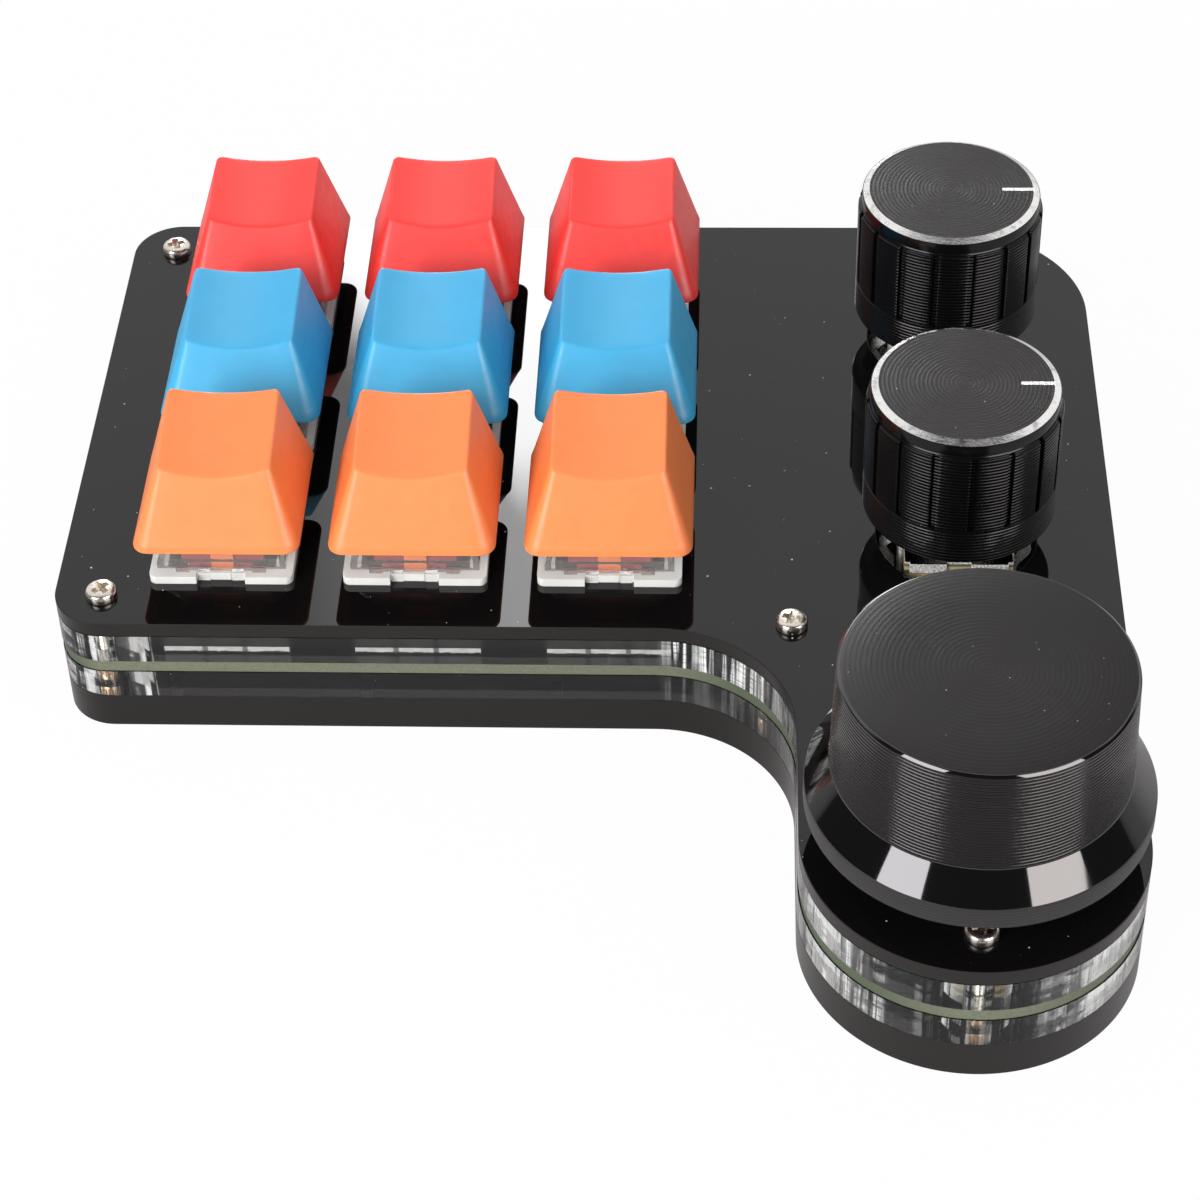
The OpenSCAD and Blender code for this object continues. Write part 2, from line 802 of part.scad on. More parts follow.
module switch_base() {
    inner_w = body_w - 2 * base_wall;
    notch_cut = notch_d + over;
    difference() {
        union() {
            linear_extrude(flange_t)
                round_rect(flange_w, flange_w, flange_r);
            translate([0, 0, -base_deep])
                block([body_w, body_w, base_deep + fuse]);
            translate([0, 0, -base_deep - peg_l])
                cylinder(r = peg_r, h = peg_l + fuse);
        }
        difference() {
            translate([0, 0, base_floor_z])
                block([inner_w, inner_w, flange_t - base_floor_z + over]);
            translate([0, 0, base_floor_z - fuse])
                cylinder(r = guide_r, h = guide_h + fuse);
        }
        translate([0, 0, peg_end - base_deep - peg_l])
            cylinder(r = guide_bore_r, h = base_deep + peg_l + over);
        for (side = [-1, 1])
            translate([0, side * (flange_w / 2 - notch_d + notch_cut / 2), -fuse])
                block([notch_w, notch_cut, flange_t + over]);
        for (place = pin_places)
            translate([place.x, place.y, -base_deep - over])
                cylinder(r = pin_r + thread_gap, h = base_floor + 2 * over);
    }
    for (side = [-1, 1])
        translate([0, side * (flange_w / 2 - notch_d + (catch_d - fuse) / 2), 0])
            block([catch_w, catch_d + fuse, flange_t]);
}

module switch_covers() {
    color(clear)
        at_keys()
            switch_cover();
}

module switch_cover() {
    half = cover_w / 2;
    top_half = cover_top_d / 2;
    inner_w = cover_w - 2 * cover_wall;
    inner_half = half - cover_step - cover_wall;
    inner_top = top_half - cover_wall;
    slope_h = cover_h - cover_knee;
    difference() {
        union() {
            cover_body(cover_w, cover_top_w, half - cover_step, top_half - cover_top_step);
            cover_body(cover_mid_w, cover_mid_w, half, top_half);
        }
        translate([0, 0, flange_t - over])
            block([inner_w, 2 * inner_half, cover_knee - flange_t + over + fuse]);
        intersection() {
            translate([0, 0, cover_knee])
                tapered(inner_w, cover_top_w - 2 * cover_wall,
                        [-inner_half, inner_half], [-inner_top, inner_top], slope_h);
            translate([0, 0, cover_knee - over])
                block([cover_w, cover_w, cover_ceiling - cover_knee + over]);
        }
        translate([0, 0, cover_ceiling - over])
            block([shoulder_w + 2 * shoulder_gap, shoulder_d + 2 * shoulder_gap, cover_wall + 2 * over]);
        translate([0, (lamp_d - over) / 2 - half, flange_t - fuse])
            block([lamp_w, lamp_d + over, lamp_h]);
    }
}

// A straight foot under a part that narrows to the cover's top
module cover_body(w0, w1, half, top_half) {
    translate([0, 0, flange_t])
        block([w0, 2 * half, cover_knee - flange_t + fuse]);
    translate([0, 0, cover_knee])
        tapered(w0, w1, [-half, half], [-top_half, top_half], cover_h - cover_knee);
}

module switch_contacts() {
    color("#b8794a")
        at_keys()
            for (index = [0, 1])
                contact(pin_places[index], leaf_y + index * leaf_step);
}

// One contact: a pin through the floor, a foot on the floor and an upright leaf
module contact(place, y) {
    leaf_x = place.x < 0 ? -leaf_w / 2 - leaf_t : leaf_w / 2 + leaf_t;
    foot_x = [min(place.x - pin_r, leaf_x - leaf_w / 2), max(place.x + pin_r, leaf_x + leaf_w / 2)];
    foot_y = [min(place.y - pin_r, y), max(place.y + pin_r, y + leaf_t)];
    translate([place.x, place.y, -base_deep - peg_l])
        cylinder(r = pin_r, h = peg_l + base_floor + fuse);
    translate([place.x - pin_r, foot_y[0], base_floor_z])
        cube([2 * pin_r, foot_y[1] - foot_y[0], leaf_t]);
    translate([foot_x[0], y, base_floor_z])
        cube([foot_x[1] - foot_x[0], leaf_t, leaf_h]);
}

// ---- Stems, caps and springs ----

module stem(row, col) {
    block_h = block_top - stem_foot;
    color("#d9743c")
        at_key(row, col) {
            apron(stem_w, apron_gap + rib_d);
            apron(rib_w, apron_gap);
            difference() {
                translate([0, 0, stem_foot])
                    block([stem_w, stem_d, block_h]);
                translate([0, 0, stem_foot - over])
                    cylinder(r = stem_bore_r, h = hollow_top - stem_foot + over);
            }
            translate([0, 0, block_top - fuse])
                block([shoulder_w, shoulder_d, cover_h - block_top + fuse]);
            translate([0, 0, stem_foot - pole_l])
                cylinder(r = pole_r, h = hollow_top - stem_foot + pole_l + fuse);
            translate([0, 0, cover_h - fuse])
                cross(0, cross_h + fuse);
        }
}

// A wedge in front of the stem's block that follows the slope of the cover's front wall
module apron(w, gap) {
    block_y = stem_d / 2;
    foot_y = cover_w / 2 - cover_step - cover_wall - gap;
    lean = (foot_y - cover_top_d / 2 + cover_wall + gap) / (cover_h - cover_knee);
    meet_z = min(block_top, cover_knee + (foot_y - block_y) / lean);
    rotate([90, 0, 90])
        linear_extrude(w, center = true)
            polygon([
                [fuse - block_y, stem_foot],
                [-foot_y, stem_foot],
                [-foot_y, cover_knee],
                [-block_y, meet_z],
                [fuse - block_y, meet_z]
            ]);
}

// The cross post, or its socket where a gap is given
module cross(gap, h) {
    block([cross_l + 2 * gap, cross_w + 2 * gap, h]);
    block([cross_v + 2 * gap, cross_l + 2 * gap, h]);
}

module keycap(row, col) {
    color(cap_colors[row])
        at_key(row, col)
            difference() {
                union() {
                    difference() {
                        cap_outside(row);
                        cap_inside(row);
                    }
                    translate([0, 0, cap_tube_foot])
                        cylinder(r = cap_tube_r, h = cap_ceiling - cap_tube_foot + over);
                }
                translate([0, 0, cap_tube_foot - over])
                    cross(cross_gap, cover_h + cross_h + bore_end_gap - cap_tube_foot + over);
            }
}

// The cap's outer form: a square foot, a tilted top, and a round dish along the cap
module cap_outside(row) {
    run = cap_rear_y[row] - cap_front_y[row];
    rise = cap_rear_z[row] - cap_front_z[row];
    tilt = atan2(rise, run);
    top_d = norm([run, rise]);
    top_y = (cap_rear_y[row] + cap_front_y[row]) / 2;
    top_z = (cap_rear_z[row] + cap_front_z[row]) / 2;
    dish_half = cap_top_w / 2 - dish_rim;
    dish_lift = sqrt(dish_r * dish_r - dish_half * dish_half);
    difference() {
        hull() {
            translate([0, 0, cap_foot])
                linear_extrude(fuse)
                    round_rect(cap_w, cap_w, cap_r, $fn = hull_fn);
            translate([0, top_y, top_z])
                rotate([tilt, 0, 0])
                    translate([0, 0, -fuse])
                        linear_extrude(fuse)
                            round_rect(cap_top_w, top_d, cap_r, $fn = hull_fn);
        }
        translate([0, top_y, top_z])
            rotate([tilt - 90, 0, 0])
                translate([0, -dish_lift, 0])
                    cylinder(r = dish_r, h = 3 * top_d, center = true, $fn = 4 * hull_fn);
    }
}

// The cap's hollow, one wall inside its outer form
module cap_inside(row) {
    half = cap_w / 2 - cap_wall;
    front_share = cap_hollow_h / (cap_front_z[row] - cap_foot);
    rear_share = cap_hollow_h / (cap_rear_z[row] - cap_foot);
    narrow = (cap_w - cap_top_w) * cap_hollow_h / ((cap_front_z[row] + cap_rear_z[row]) / 2 - cap_foot);
    front = -half + front_share * (cap_w / 2 + cap_front_y[row]);
    rear = half - rear_share * (cap_w / 2 - cap_rear_y[row]);
    translate([0, 0, cap_foot - over])
        block([2 * half, 2 * half, over + fuse]);
    translate([0, 0, cap_foot])
        tapered(2 * half, 2 * half - narrow, [-half, half], [front, rear], cap_hollow_h);
}

// A coil spring on the guide tube, from the housing's floor to the roof of the stem's hollow
module spring(row, col) {
    steps = round(spring_turns * spring_steps);
    low = base_floor_z + spring_wire_r;
    rise = hollow_top - spring_wire_r - low;
    points = [
        for (step = [0 : steps], side = [0 : wire_sides - 1])
            spring_point(step / steps, side * 360 / wire_sides, low, rise)
    ];
    last = steps * wire_sides;
    sides = [
        for (step = [0 : steps - 1], side = [0 : wire_sides - 1], half = [0, 1])
            let (next = (side + 1) % wire_sides, here = step * wire_sides, there = here + wire_sides)
                half == 0 ? [here + side, here + next, there + next]
                    : [here + side, there + next, there + side]
    ];
    first_end = [for (side = [0 : wire_sides - 1]) wire_sides - 1 - side];
    last_end = [for (side = [0 : wire_sides - 1]) last + side];
    color("silver")
        at_key(row, col)
            polyhedron(points, concat(sides, [first_end, last_end]));
}

function spring_point(share, around, low, rise) =
    let (turn = share * spring_turns * 360, r = spring_r + spring_wire_r * cos(around))
        [r * cos(turn), r * sin(turn), low + share * rise + spring_wire_r * sin(around)];

// ---- Encoders ----

module encoder_bases() {
    color("#4a3a2a")
        at_encoders()
            difference() {
                block([encoder_w, encoder_d, encoder_h]);
                translate([0, 0, chamber_floor])
                    cylinder(r = chamber_r, h = encoder_h);
            }
}

module encoder_covers() {
    strap_x = encoder_w / 2;
    lip_part = (lip_l - lip_gap) / 2;
    color("silver")
        at_encoders() {
            difference() {
                translate([0, 0, encoder_h])
                    block([encoder_w, encoder_d, sheet_t]);
                translate([0, 0, encoder_h - over])
                    cylinder(r = shaft_r + 2 * shaft_gap, h = sheet_t + 2 * over);
            }
            for (side = [0, 180])
                rotate(side) {
                    translate([strap_x, 0, 0])
                        rotate(90)
                            sheet_wall(strap_w, cover_z);
                    translate([strap_x, -leg_tab_w / 2, -tail_l])
                        cube([sheet_t, leg_tab_w, tail_l + fuse]);
                    for (end = [-1, 1])
                        translate([end * (lip_gap + lip_part) / 2, -encoder_d / 2, 0])
                            sheet_wall(lip_part, lip_h);
                }
        }
}

// A wall of the cover, outside the base's face and hung from the top sheet
module sheet_wall(w, h) {
    translate([-w / 2, -sheet_t, cover_z - h])
        cube([w, sheet_t, h]);
    translate([-w / 2, -sheet_t, encoder_h])
        cube([w, sheet_t + fuse, sheet_t]);
}

module encoder_bushings() {
    ring_count = floor((bushing_h - bushing_foot_t) / thread_pitch) - 1;
    color("#c9c9c4")
        at_encoders()
            translate([0, 0, cover_z])
                difference() {
                    union() {
                        cylinder(r = bushing_foot_r, h = bushing_foot_t);
                        cylinder(r = bushing_r, h = bushing_h);
                    }
                    translate([0, 0, -over])
                        cylinder(r = shaft_r + shaft_gap, h = bushing_h + 2 * over);
                    for (ring = [1 : ring_count])
                        translate([0, 0, bushing_foot_t + ring * thread_pitch])
                            thread_groove();
                }
}

// One turn of the bushing's thread, as a V-shaped ring
module thread_groove() {
    rotate_extrude()
        polygon([
            [bushing_r - thread_deep, 0],
            [bushing_r + thread_deep, -2 * thread_deep],
            [bushing_r + thread_deep, 2 * thread_deep]
        ]);
}

// Three terminals behind each encoder and two in front of it
module at_terminals() {
    y = encoder_d / 2 + terminal_out - sheet_t / 2;
    for (x = [-1, 0, 1])
        translate([x * terminal_pitch, y, 0])
            children();
    for (x = [-1, 1])
        translate([x * terminal_pitch, -y, 0])
            rotate(180)
                children();
}

module encoder_terminals() {
    color("#d8c48c")
        at_encoders()
            at_terminals() {
                translate([-terminal_w / 2, -terminal_out + sheet_t / 2, terminal_z])
                    cube([terminal_w, terminal_out, sheet_t]);
                translate([0, 0, -tail_l])
                    block([terminal_w, sheet_t, tail_l + terminal_z + fuse]);
            }
}

module encoder_domes() {
    color("silver")
        at_encoders()
            translate([0, 0, chamber_floor])
                cylinder(r1 = dome_r, r2 = dome_r / 2, h = dome_h);
}

module rotor(index) {
    hub_z = rotor_z + rotor_t - fuse;
    bore_r = tail_r + shaft_gap;
    bore_h = rotor_top - rotor_z + 2 * over;
    color("ivory")
        at_encoder(index)
            difference() {
                union() {
                    translate([0, 0, rotor_z])
                        cylinder(r = rotor_r, h = rotor_t);
                    translate([0, 0, hub_z])
                        cylinder(r = hub_r, h = rotor_top - hub_z);
                }
                translate([0, 0, rotor_z - over])
                    flatted(bore_r, bore_h, (tail_r * shaft_flat + shaft_gap) / bore_r);
            }
}

module shaft(index) {
    plain_l = shaft_top - shaft_flat_l - shaft_step;
    color("#b9b9b5")
        at_encoder(index) {
            translate([0, 0, shaft_foot])
                flatted(tail_r, shaft_step - shaft_foot + fuse, shaft_flat);
            translate([0, 0, shaft_step])
                cylinder(r = shaft_r, h = plain_l);
            translate([0, 0, shaft_step + plain_l - fuse])
                flatted(shaft_r, shaft_flat_l + fuse, shaft_flat);
        }
}

// Bore of a knob or core: room for the bushing, then the shaft with its flat. z0 is where the solid starts.
module shaft_bore(z0) {
    flat_z = z_upper + shaft_top - shaft_flat_l + bore_end_gap;
    bore_r = shaft_r + shaft_gap;
    translate([0, 0, z0 - over])
        cylinder(r = bushing_clear_r, h = bushing_clear_z - z0 + over);
    translate([0, 0, bushing_clear_z - fuse])
        cylinder(r = bore_r, h = max(flat_z - bushing_clear_z, 0) + fuse);
    translate([0, 0, bushing_clear_z - fuse])
        flatted(bore_r, z_upper + shaft_top + bore_end_gap - bushing_clear_z + fuse,
                (shaft_r * shaft_flat + shaft_gap) / bore_r);
}

// ---- Knobs ----

module small_knob(index) {
    place = encoder_places[index];
    grip_top = knob_h - edge_h - band_h - ledge_h;
    flute_h = grip_top + ledge_h - flute_end - knob_foot_h;
    between_flutes = flute_turn[index] + 180 / flutes;
    color(black)
        translate([place.x, place.y, small_knob_z])
            difference() {
                rotate(between_flutes)
                    rotate_extrude()
                        polygon([
                            [core_r, 0], [knob_grip_r, 0], [knob_grip_r, grip_top],
                            [knob_band_r, grip_top + ledge_h], [knob_band_r, knob_h - edge_h],
                            [knob_face_r, knob_h], [0, knob_h], [0, knob_h - knob_top_t],
                            [core_r, knob_h - knob_top_t]
                        ]);
                for (flute = [0 : flutes - 1])
                    rotate(flute_turn[index] + flute * 360 / flutes)
                        translate([knob_grip_r - flute_deep, -flute_w / 2, knob_foot_h])
                            cube([flute_deep + over, flute_w, flute_h]);
                translate([pointer_in, -pointer_w / 2, knob_h - pointer_deep])
                    cube([knob_face_r - pointer_in + over, pointer_w, pointer_deep + over]);
            }
}

module knob_core(index) {
    place = encoder_places[index];
    foot = small_knob_z + core_sink;
    core_h = knob_h - knob_top_t - core_sink - core_gap;
    color("#2a2a2c")
        translate([place.x, place.y, 0])
            difference() {
                translate([0, 0, foot])
                    cylinder(r = core_r - core_gap, h = core_h);
                shaft_bore(foot);
                translate([0, 0, foot - over])
                    difference() {
                        cylinder(r = relief_out, h = relief_h + over);
                        cylinder(r = relief_in, h = relief_h + over);
                    }
            }
}

module large_knob() {
    side_z = rim_h + skirt_h;
    hub_top = large_h - large_top_t + fuse;
    color(black)
        translate([lobe.x, lobe.y, 0])
            difference() {
                translate([0, 0, large_knob_z]) {
                    rotate_extrude()
                        polygon([
                            [large_hollow_r, 0], [rim_r, 0], [rim_r, rim_h], [large_foot_r, side_z],
                            [large_top_r, large_h - large_edge], [large_top_r - large_edge, large_h],
                            [0, large_h], [0, large_h - large_top_t], [large_hollow_r, large_h - large_top_t]
                        ]);
                    translate([0, 0, large_hub_sink])
                        cylinder(r = large_hub_r, h = hub_top - large_hub_sink);
                }
                shaft_bore(large_knob_z);
                translate([0, 0, large_knob_z + set_screw_z])
                    rotate([-90, 0, 0])
                        cylinder(r = set_screw_r + shaft_gap, h = rim_r);
            }
}

module large_knob_screw() {
    screw_foot = shaft_r * shaft_flat + shaft_gap;
    hex_r = hex_w / sqrt(3);
    color("dimgray")
        translate([lobe.x, lobe.y + screw_foot, large_knob_z + set_screw_z])
            rotate([-90, 0, 0])
                difference() {
                    cylinder(r = set_screw_r, h = set_screw_l);
                    translate([0, 0, set_screw_l - hex_deep])
                        cylinder(r = hex_r, h = hex_deep + over, $fn = 6);
                }
}

// ---- Electronics ----

// The USB socket's rear mouth, at the board's top, with +Y out of the mouth
module at_usb() {
    translate([usb_x, rear_y - usb_sink, z_upper])
        children();
}

// A stadium-shaped bar along Y, with its mouth end at y = 0
module stadium_bar(w, h, l) {
    rotate([90, 0, 0])
        linear_extrude(l)
            union() {
                square([w - h, h], center = true);
                for (side = [-1, 1])
                    translate([side * (w - h) / 2, 0])
                        circle(r = h / 2);
            }
}

module usb_socket() {
    color("silver")
        at_usb()
            translate([0, 0, usb_h / 2])
                difference() {
                    stadium_bar(usb_w, usb_h, usb_l);
                    translate([0, over, 0])
                        stadium_bar(usb_w - 2 * usb_shell, usb_h - 2 * usb_shell, usb_l + over - usb_shell);
                }
}

module usb_tongue() {
    block_w = usb_w - 2 * usb_shell - 2 * core_gap;
    block_h = usb_h - 2 * usb_shell - 2 * core_gap;
    block_y = usb_shell + usb_block - usb_l;
    color(black)
        at_usb()
            translate([0, 0, usb_h / 2]) {
                translate([0, block_y, 0])
                    stadium_bar(block_w, block_h, usb_block);
                translate([-tongue_w / 2, block_y - fuse, -tongue_t / 2])
                    cube([tongue_w, tongue_l + fuse, tongue_t]);
            }
}

module controller_chip() {
    lead_pitch = chip_w / (chip_leads + 1);
    lead_w = lead_pitch / 2;
    lead_t = chip_h / 5;
    color("#202022")
        translate([usb_x, rear_y - chip_rear, z_upper]) {
            block([chip_w, chip_w, chip_h]);
            for (side = [0 : 3], lead = [1 : chip_leads])
                rotate(side * 90)
                    translate([chip_w / 2 - fuse, lead * lead_pitch - chip_w / 2 - lead_w / 2, 0])
                        cube([lead_l + fuse, lead_w, lead_t]);
        }
}

module crystal() {
    color("silver")
        translate([usb_x, rear_y - chip_rear - crystal_front, z_upper])
            block(crystal_size);
}

// One diode under the board at each key
module key_diodes() {
    color("#5a5a5c")
        at_keys()
            translate([diode_place.x, diode_place.y, z_board - z_face - diode_size.z]) {
                block(diode_size);
                for (side = [-1, 1])
                    translate([0, side * (diode_size.y + diode_end) / 2, 0])
                        block([diode_size.x, diode_end + fuse, diode_size.z]);
            }
}

module board_capacitors() {
    color("#2aa58e") {
        for (place = capacitor_places)
            translate([usb_x + place.x, rear_y - chip_rear + place.y, z_upper])
                block(capacitor_size);
        translate([
            lobe.x + lobe_capacitor_r * cos(lobe_capacitor_angle),
            lobe.y + lobe_capacitor_r * sin(lobe_capacitor_angle),
            z_upper
        ])
            block(capacitor_size);
    }
}

bottom_plate();
lower_spacer();
circuit_board();
upper_spacer();
top_plate();
case_screws();
screw_inserts();
switch_bases();
switch_covers();
switch_contacts();
stem(REAR, 0);  // stem_rear_left
stem(REAR, 1);  // stem_rear_centre
stem(REAR, 2);  // stem_rear_right
stem(MIDDLE, 0);  // stem_middle_left
stem(MIDDLE, 1);  // stem_middle_centre
stem(MIDDLE, 2);  // stem_middle_right
stem(FRONT, 0);  // stem_front_left
stem(FRONT, 1);  // stem_front_centre
stem(FRONT, 2);  // stem_front_right
keycap(REAR, 0);  // keycap_rear_left
keycap(REAR, 1);  // keycap_rear_centre
keycap(REAR, 2);  // keycap_rear_right
keycap(MIDDLE, 0);  // keycap_middle_left
keycap(MIDDLE, 1);  // keycap_middle_centre
keycap(MIDDLE, 2);  // keycap_middle_right
keycap(FRONT, 0);  // keycap_front_left
keycap(FRONT, 1);  // keycap_front_centre
keycap(FRONT, 2);  // keycap_front_right
spring(REAR, 0);  // spring_rear_left
spring(REAR, 1);  // spring_rear_centre
spring(REAR, 2);  // spring_rear_right
spring(MIDDLE, 0);  // spring_middle_left
spring(MIDDLE, 1);  // spring_middle_centre
spring(MIDDLE, 2);  // spring_middle_right
spring(FRONT, 0);  // spring_front_left
spring(FRONT, 1);  // spring_front_centre
spring(FRONT, 2);  // spring_front_right
encoder_bases();
encoder_covers();
encoder_bushings();
encoder_terminals();
encoder_domes();
rotor(REAR);  // rear_rotor
rotor(MIDDLE);  // middle_rotor
rotor(LARGE);  // large_rotor
shaft(REAR);  // rear_shaft
shaft(MIDDLE);  // middle_shaft
shaft(LARGE);  // large_shaft
small_knob(REAR);  // rear_knob
small_knob(MIDDLE);  // middle_knob
large_knob();
knob_core(REAR);  // rear_knob_core
knob_core(MIDDLE);  // middle_knob_core
large_knob_screw();
usb_socket();
usb_tongue();
controller_chip();
crystal();
key_diodes();
board_capacitors();
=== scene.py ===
"""Looks of the macro keypad with knobs. Sizes are in millimetres, and become metres when a mesh is made."""

import json
import math

import bmesh
import bpy
from mathutils import Matrix, Vector

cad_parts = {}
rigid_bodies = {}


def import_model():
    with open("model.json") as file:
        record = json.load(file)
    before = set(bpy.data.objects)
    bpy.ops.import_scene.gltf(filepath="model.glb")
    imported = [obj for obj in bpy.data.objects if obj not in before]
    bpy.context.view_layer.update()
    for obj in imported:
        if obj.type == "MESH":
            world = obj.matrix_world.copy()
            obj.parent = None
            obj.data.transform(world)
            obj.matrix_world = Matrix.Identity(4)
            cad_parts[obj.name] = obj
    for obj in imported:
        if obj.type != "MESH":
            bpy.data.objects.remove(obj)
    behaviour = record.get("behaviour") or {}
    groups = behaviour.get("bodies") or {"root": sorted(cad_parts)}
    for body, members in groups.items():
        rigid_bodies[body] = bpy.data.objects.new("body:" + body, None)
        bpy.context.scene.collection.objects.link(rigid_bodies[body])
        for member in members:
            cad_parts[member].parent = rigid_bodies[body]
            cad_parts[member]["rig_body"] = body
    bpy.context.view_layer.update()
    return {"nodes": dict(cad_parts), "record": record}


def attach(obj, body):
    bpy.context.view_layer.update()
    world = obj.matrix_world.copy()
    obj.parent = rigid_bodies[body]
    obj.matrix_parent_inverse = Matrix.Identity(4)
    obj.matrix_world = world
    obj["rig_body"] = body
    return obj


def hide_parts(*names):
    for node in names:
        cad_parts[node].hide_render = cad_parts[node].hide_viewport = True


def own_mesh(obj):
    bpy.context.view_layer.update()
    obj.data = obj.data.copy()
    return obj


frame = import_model()
MM = 0.001
TAU = 2 * math.pi

# ---- Sizes, the same as the part's ----
LEFT, RIGHT, FRONT, REAR = -57.4, 57.4, -59.55, 59.55
WING_Y = REAR - 71.8
LEG_R = 17.4
LOBE = (RIGHT - LEG_R, FRONT + LEG_R)
WAIST_R = 15.0
WAIST = (RIGHT - 2 * LEG_R - WAIST_R, WING_Y - WAIST_R)
CORNER_R, SHOULDER_R = 5.5, 16.5
Z_LOWER, Z_BOARD, Z_UPPER, Z_TOP, Z_FACE = 4.6, 8.2, 9.7, 13.4, 15.2
WALL, PAD_R = 4.5, 5.0
SCREWS = ((-52.2, 54.35), (-52.2, -7.75), (22.202, -11.6), (40.0, -54.75), (40.0, 54.35))
SCREW_HOLE_R, INSERT_HOLE_R = 1.3, 2.3
KEY_TRAVEL, KEY_HOLE_W = 4.0, 14.0
RIB_W, RIB_Y = 2.5, -3.6
ENCODERS = ((40.25, 37.95), (40.25, 3.25), LOBE)
ENCODER_HOLE_R = 8.75
USB_X, USB_SLOT = 19.975, 9.44
ROWS = ("rear", "middle", "front")
COLUMNS = ("left", "centre", "right")
CAP_COLOR = {"rear": "cap_red", "middle": "cap_blue", "front": "cap_orange"}
KEY_PITCH = 21.05
KEY_X = [LEFT + 17.95 + KEY_PITCH * c for c in range(3)]
KEY_Y = [REAR - 13.3 - 22.1 * r for r in range(3)]
KEYS = [(x, y) for x in KEY_X for y in KEY_Y]
SHEET_GAP = 0.02  # between a clear sheet and its neighbours, so that no two faces lie in one plane

# ---- Sizes of the studio: metres and degrees ----
CAMERA_PLACE = (0.015945, -0.260973, 0.249543)
CAMERA_PITCH, CAMERA_YAW, CAMERA_ROLL = 42.312, 3.759, -2.136
LENS, SENSOR, SHIFT = 96.57, 36, (0.0194, -0.0198)
AIM = (0.01, 0.0, 0.02)
SOFTBOXES = (("left", -43.7, 0.46, 6.6, (1, 0.97, 1)), ("right", 46.8, 0.60, 5.8, (1, 0.93, 0.91)))
SOFTBOX_RISE, SOFTBOX_FAR, SOFTBOX_H = 30, 1.0, 0.66
LAMP_FAR = 1.3
SKY_SEEN, SKY_LIT = 1.0, 0.53  # the sky's strength for the camera, and as light on matt surfaces
FLOOR_R, FLOOR_RINGS, FLOOR_SIDES = 6.0, 12, 48


# ---- Camera, floor and light ----
def camera():
    """The photograph's camera, fitted through the corners of the keycaps."""
    pitch, yaw, roll = (math.radians(a) for a in (CAMERA_PITCH, CAMERA_YAW, CAMERA_ROLL))
    look = Vector((-math.sin(yaw) * math.cos(pitch), math.cos(yaw) * math.cos(pitch), -math.sin(pitch)))
    right = Vector((math.cos(yaw), math.sin(yaw), 0))
    up = right.cross(look)
    across = right * math.cos(roll) + up * math.sin(roll)
    above = up * math.cos(roll) - right * math.sin(roll)
    data = bpy.data.cameras.new("camera")
    data.lens, data.sensor_width = LENS, SENSOR
    data.shift_x, data.shift_y = SHIFT
    data.clip_start, data.clip_end = 0.01, 50
    cam = put("camera", data)
    turned = Matrix((across, above, -look)).transposed().to_4x4()
    cam.matrix_world = Matrix.Translation(Vector(CAMERA_PLACE)) @ turned
    bpy.context.scene.camera = cam


def put(name, data):
    obj = bpy.data.objects.new(name, data)
    bpy.context.scene.collection.objects.link(obj)
    return obj


class Nodes:
    """Makes and joins the nodes of a tree."""

    def __init__(self, tree):
        self.tree = tree

    def join(self, socket, value):
        if isinstance(value, bpy.types.NodeSocket):
            self.tree.links.new(value, socket)
        elif value is not None:
            socket.default_value = value

    def add(self, kind, *inputs, out=0, **props):
        """A node. Inputs go in their order or, with a capital letter, by name; the rest are its settings."""
        node = self.tree.nodes.new(kind)
        named = {k: v for k, v in props.items() if k[0].isupper()}
        for key, value in props.items():
            if key not in named:
                setattr(node, key, value)
        for socket, value in zip(node.inputs, inputs):
            self.join(socket, value)
        for key, value in named.items():
            self.join(node.inputs[key.replace("_", " ")], value)
        return node.outputs[out]

    def rays(self):
        return self.tree.nodes.new("ShaderNodeLightPath").outputs

    def math(self, operation, a, b=None, c=None):
        return self.add("ShaderNodeMath", a, b, c, operation=operation)

    def product(self, *values):
        out = values[0]
        for value in values[1:]:
            out = self.math("MULTIPLY", out, value)
        return out

    def map(self, value, a, b, low=0.0, high=1.0, kind="LINEAR"):
        return self.add("ShaderNodeMapRange", value, a, b, low, high, interpolation_type=kind)


FINISHES = {}


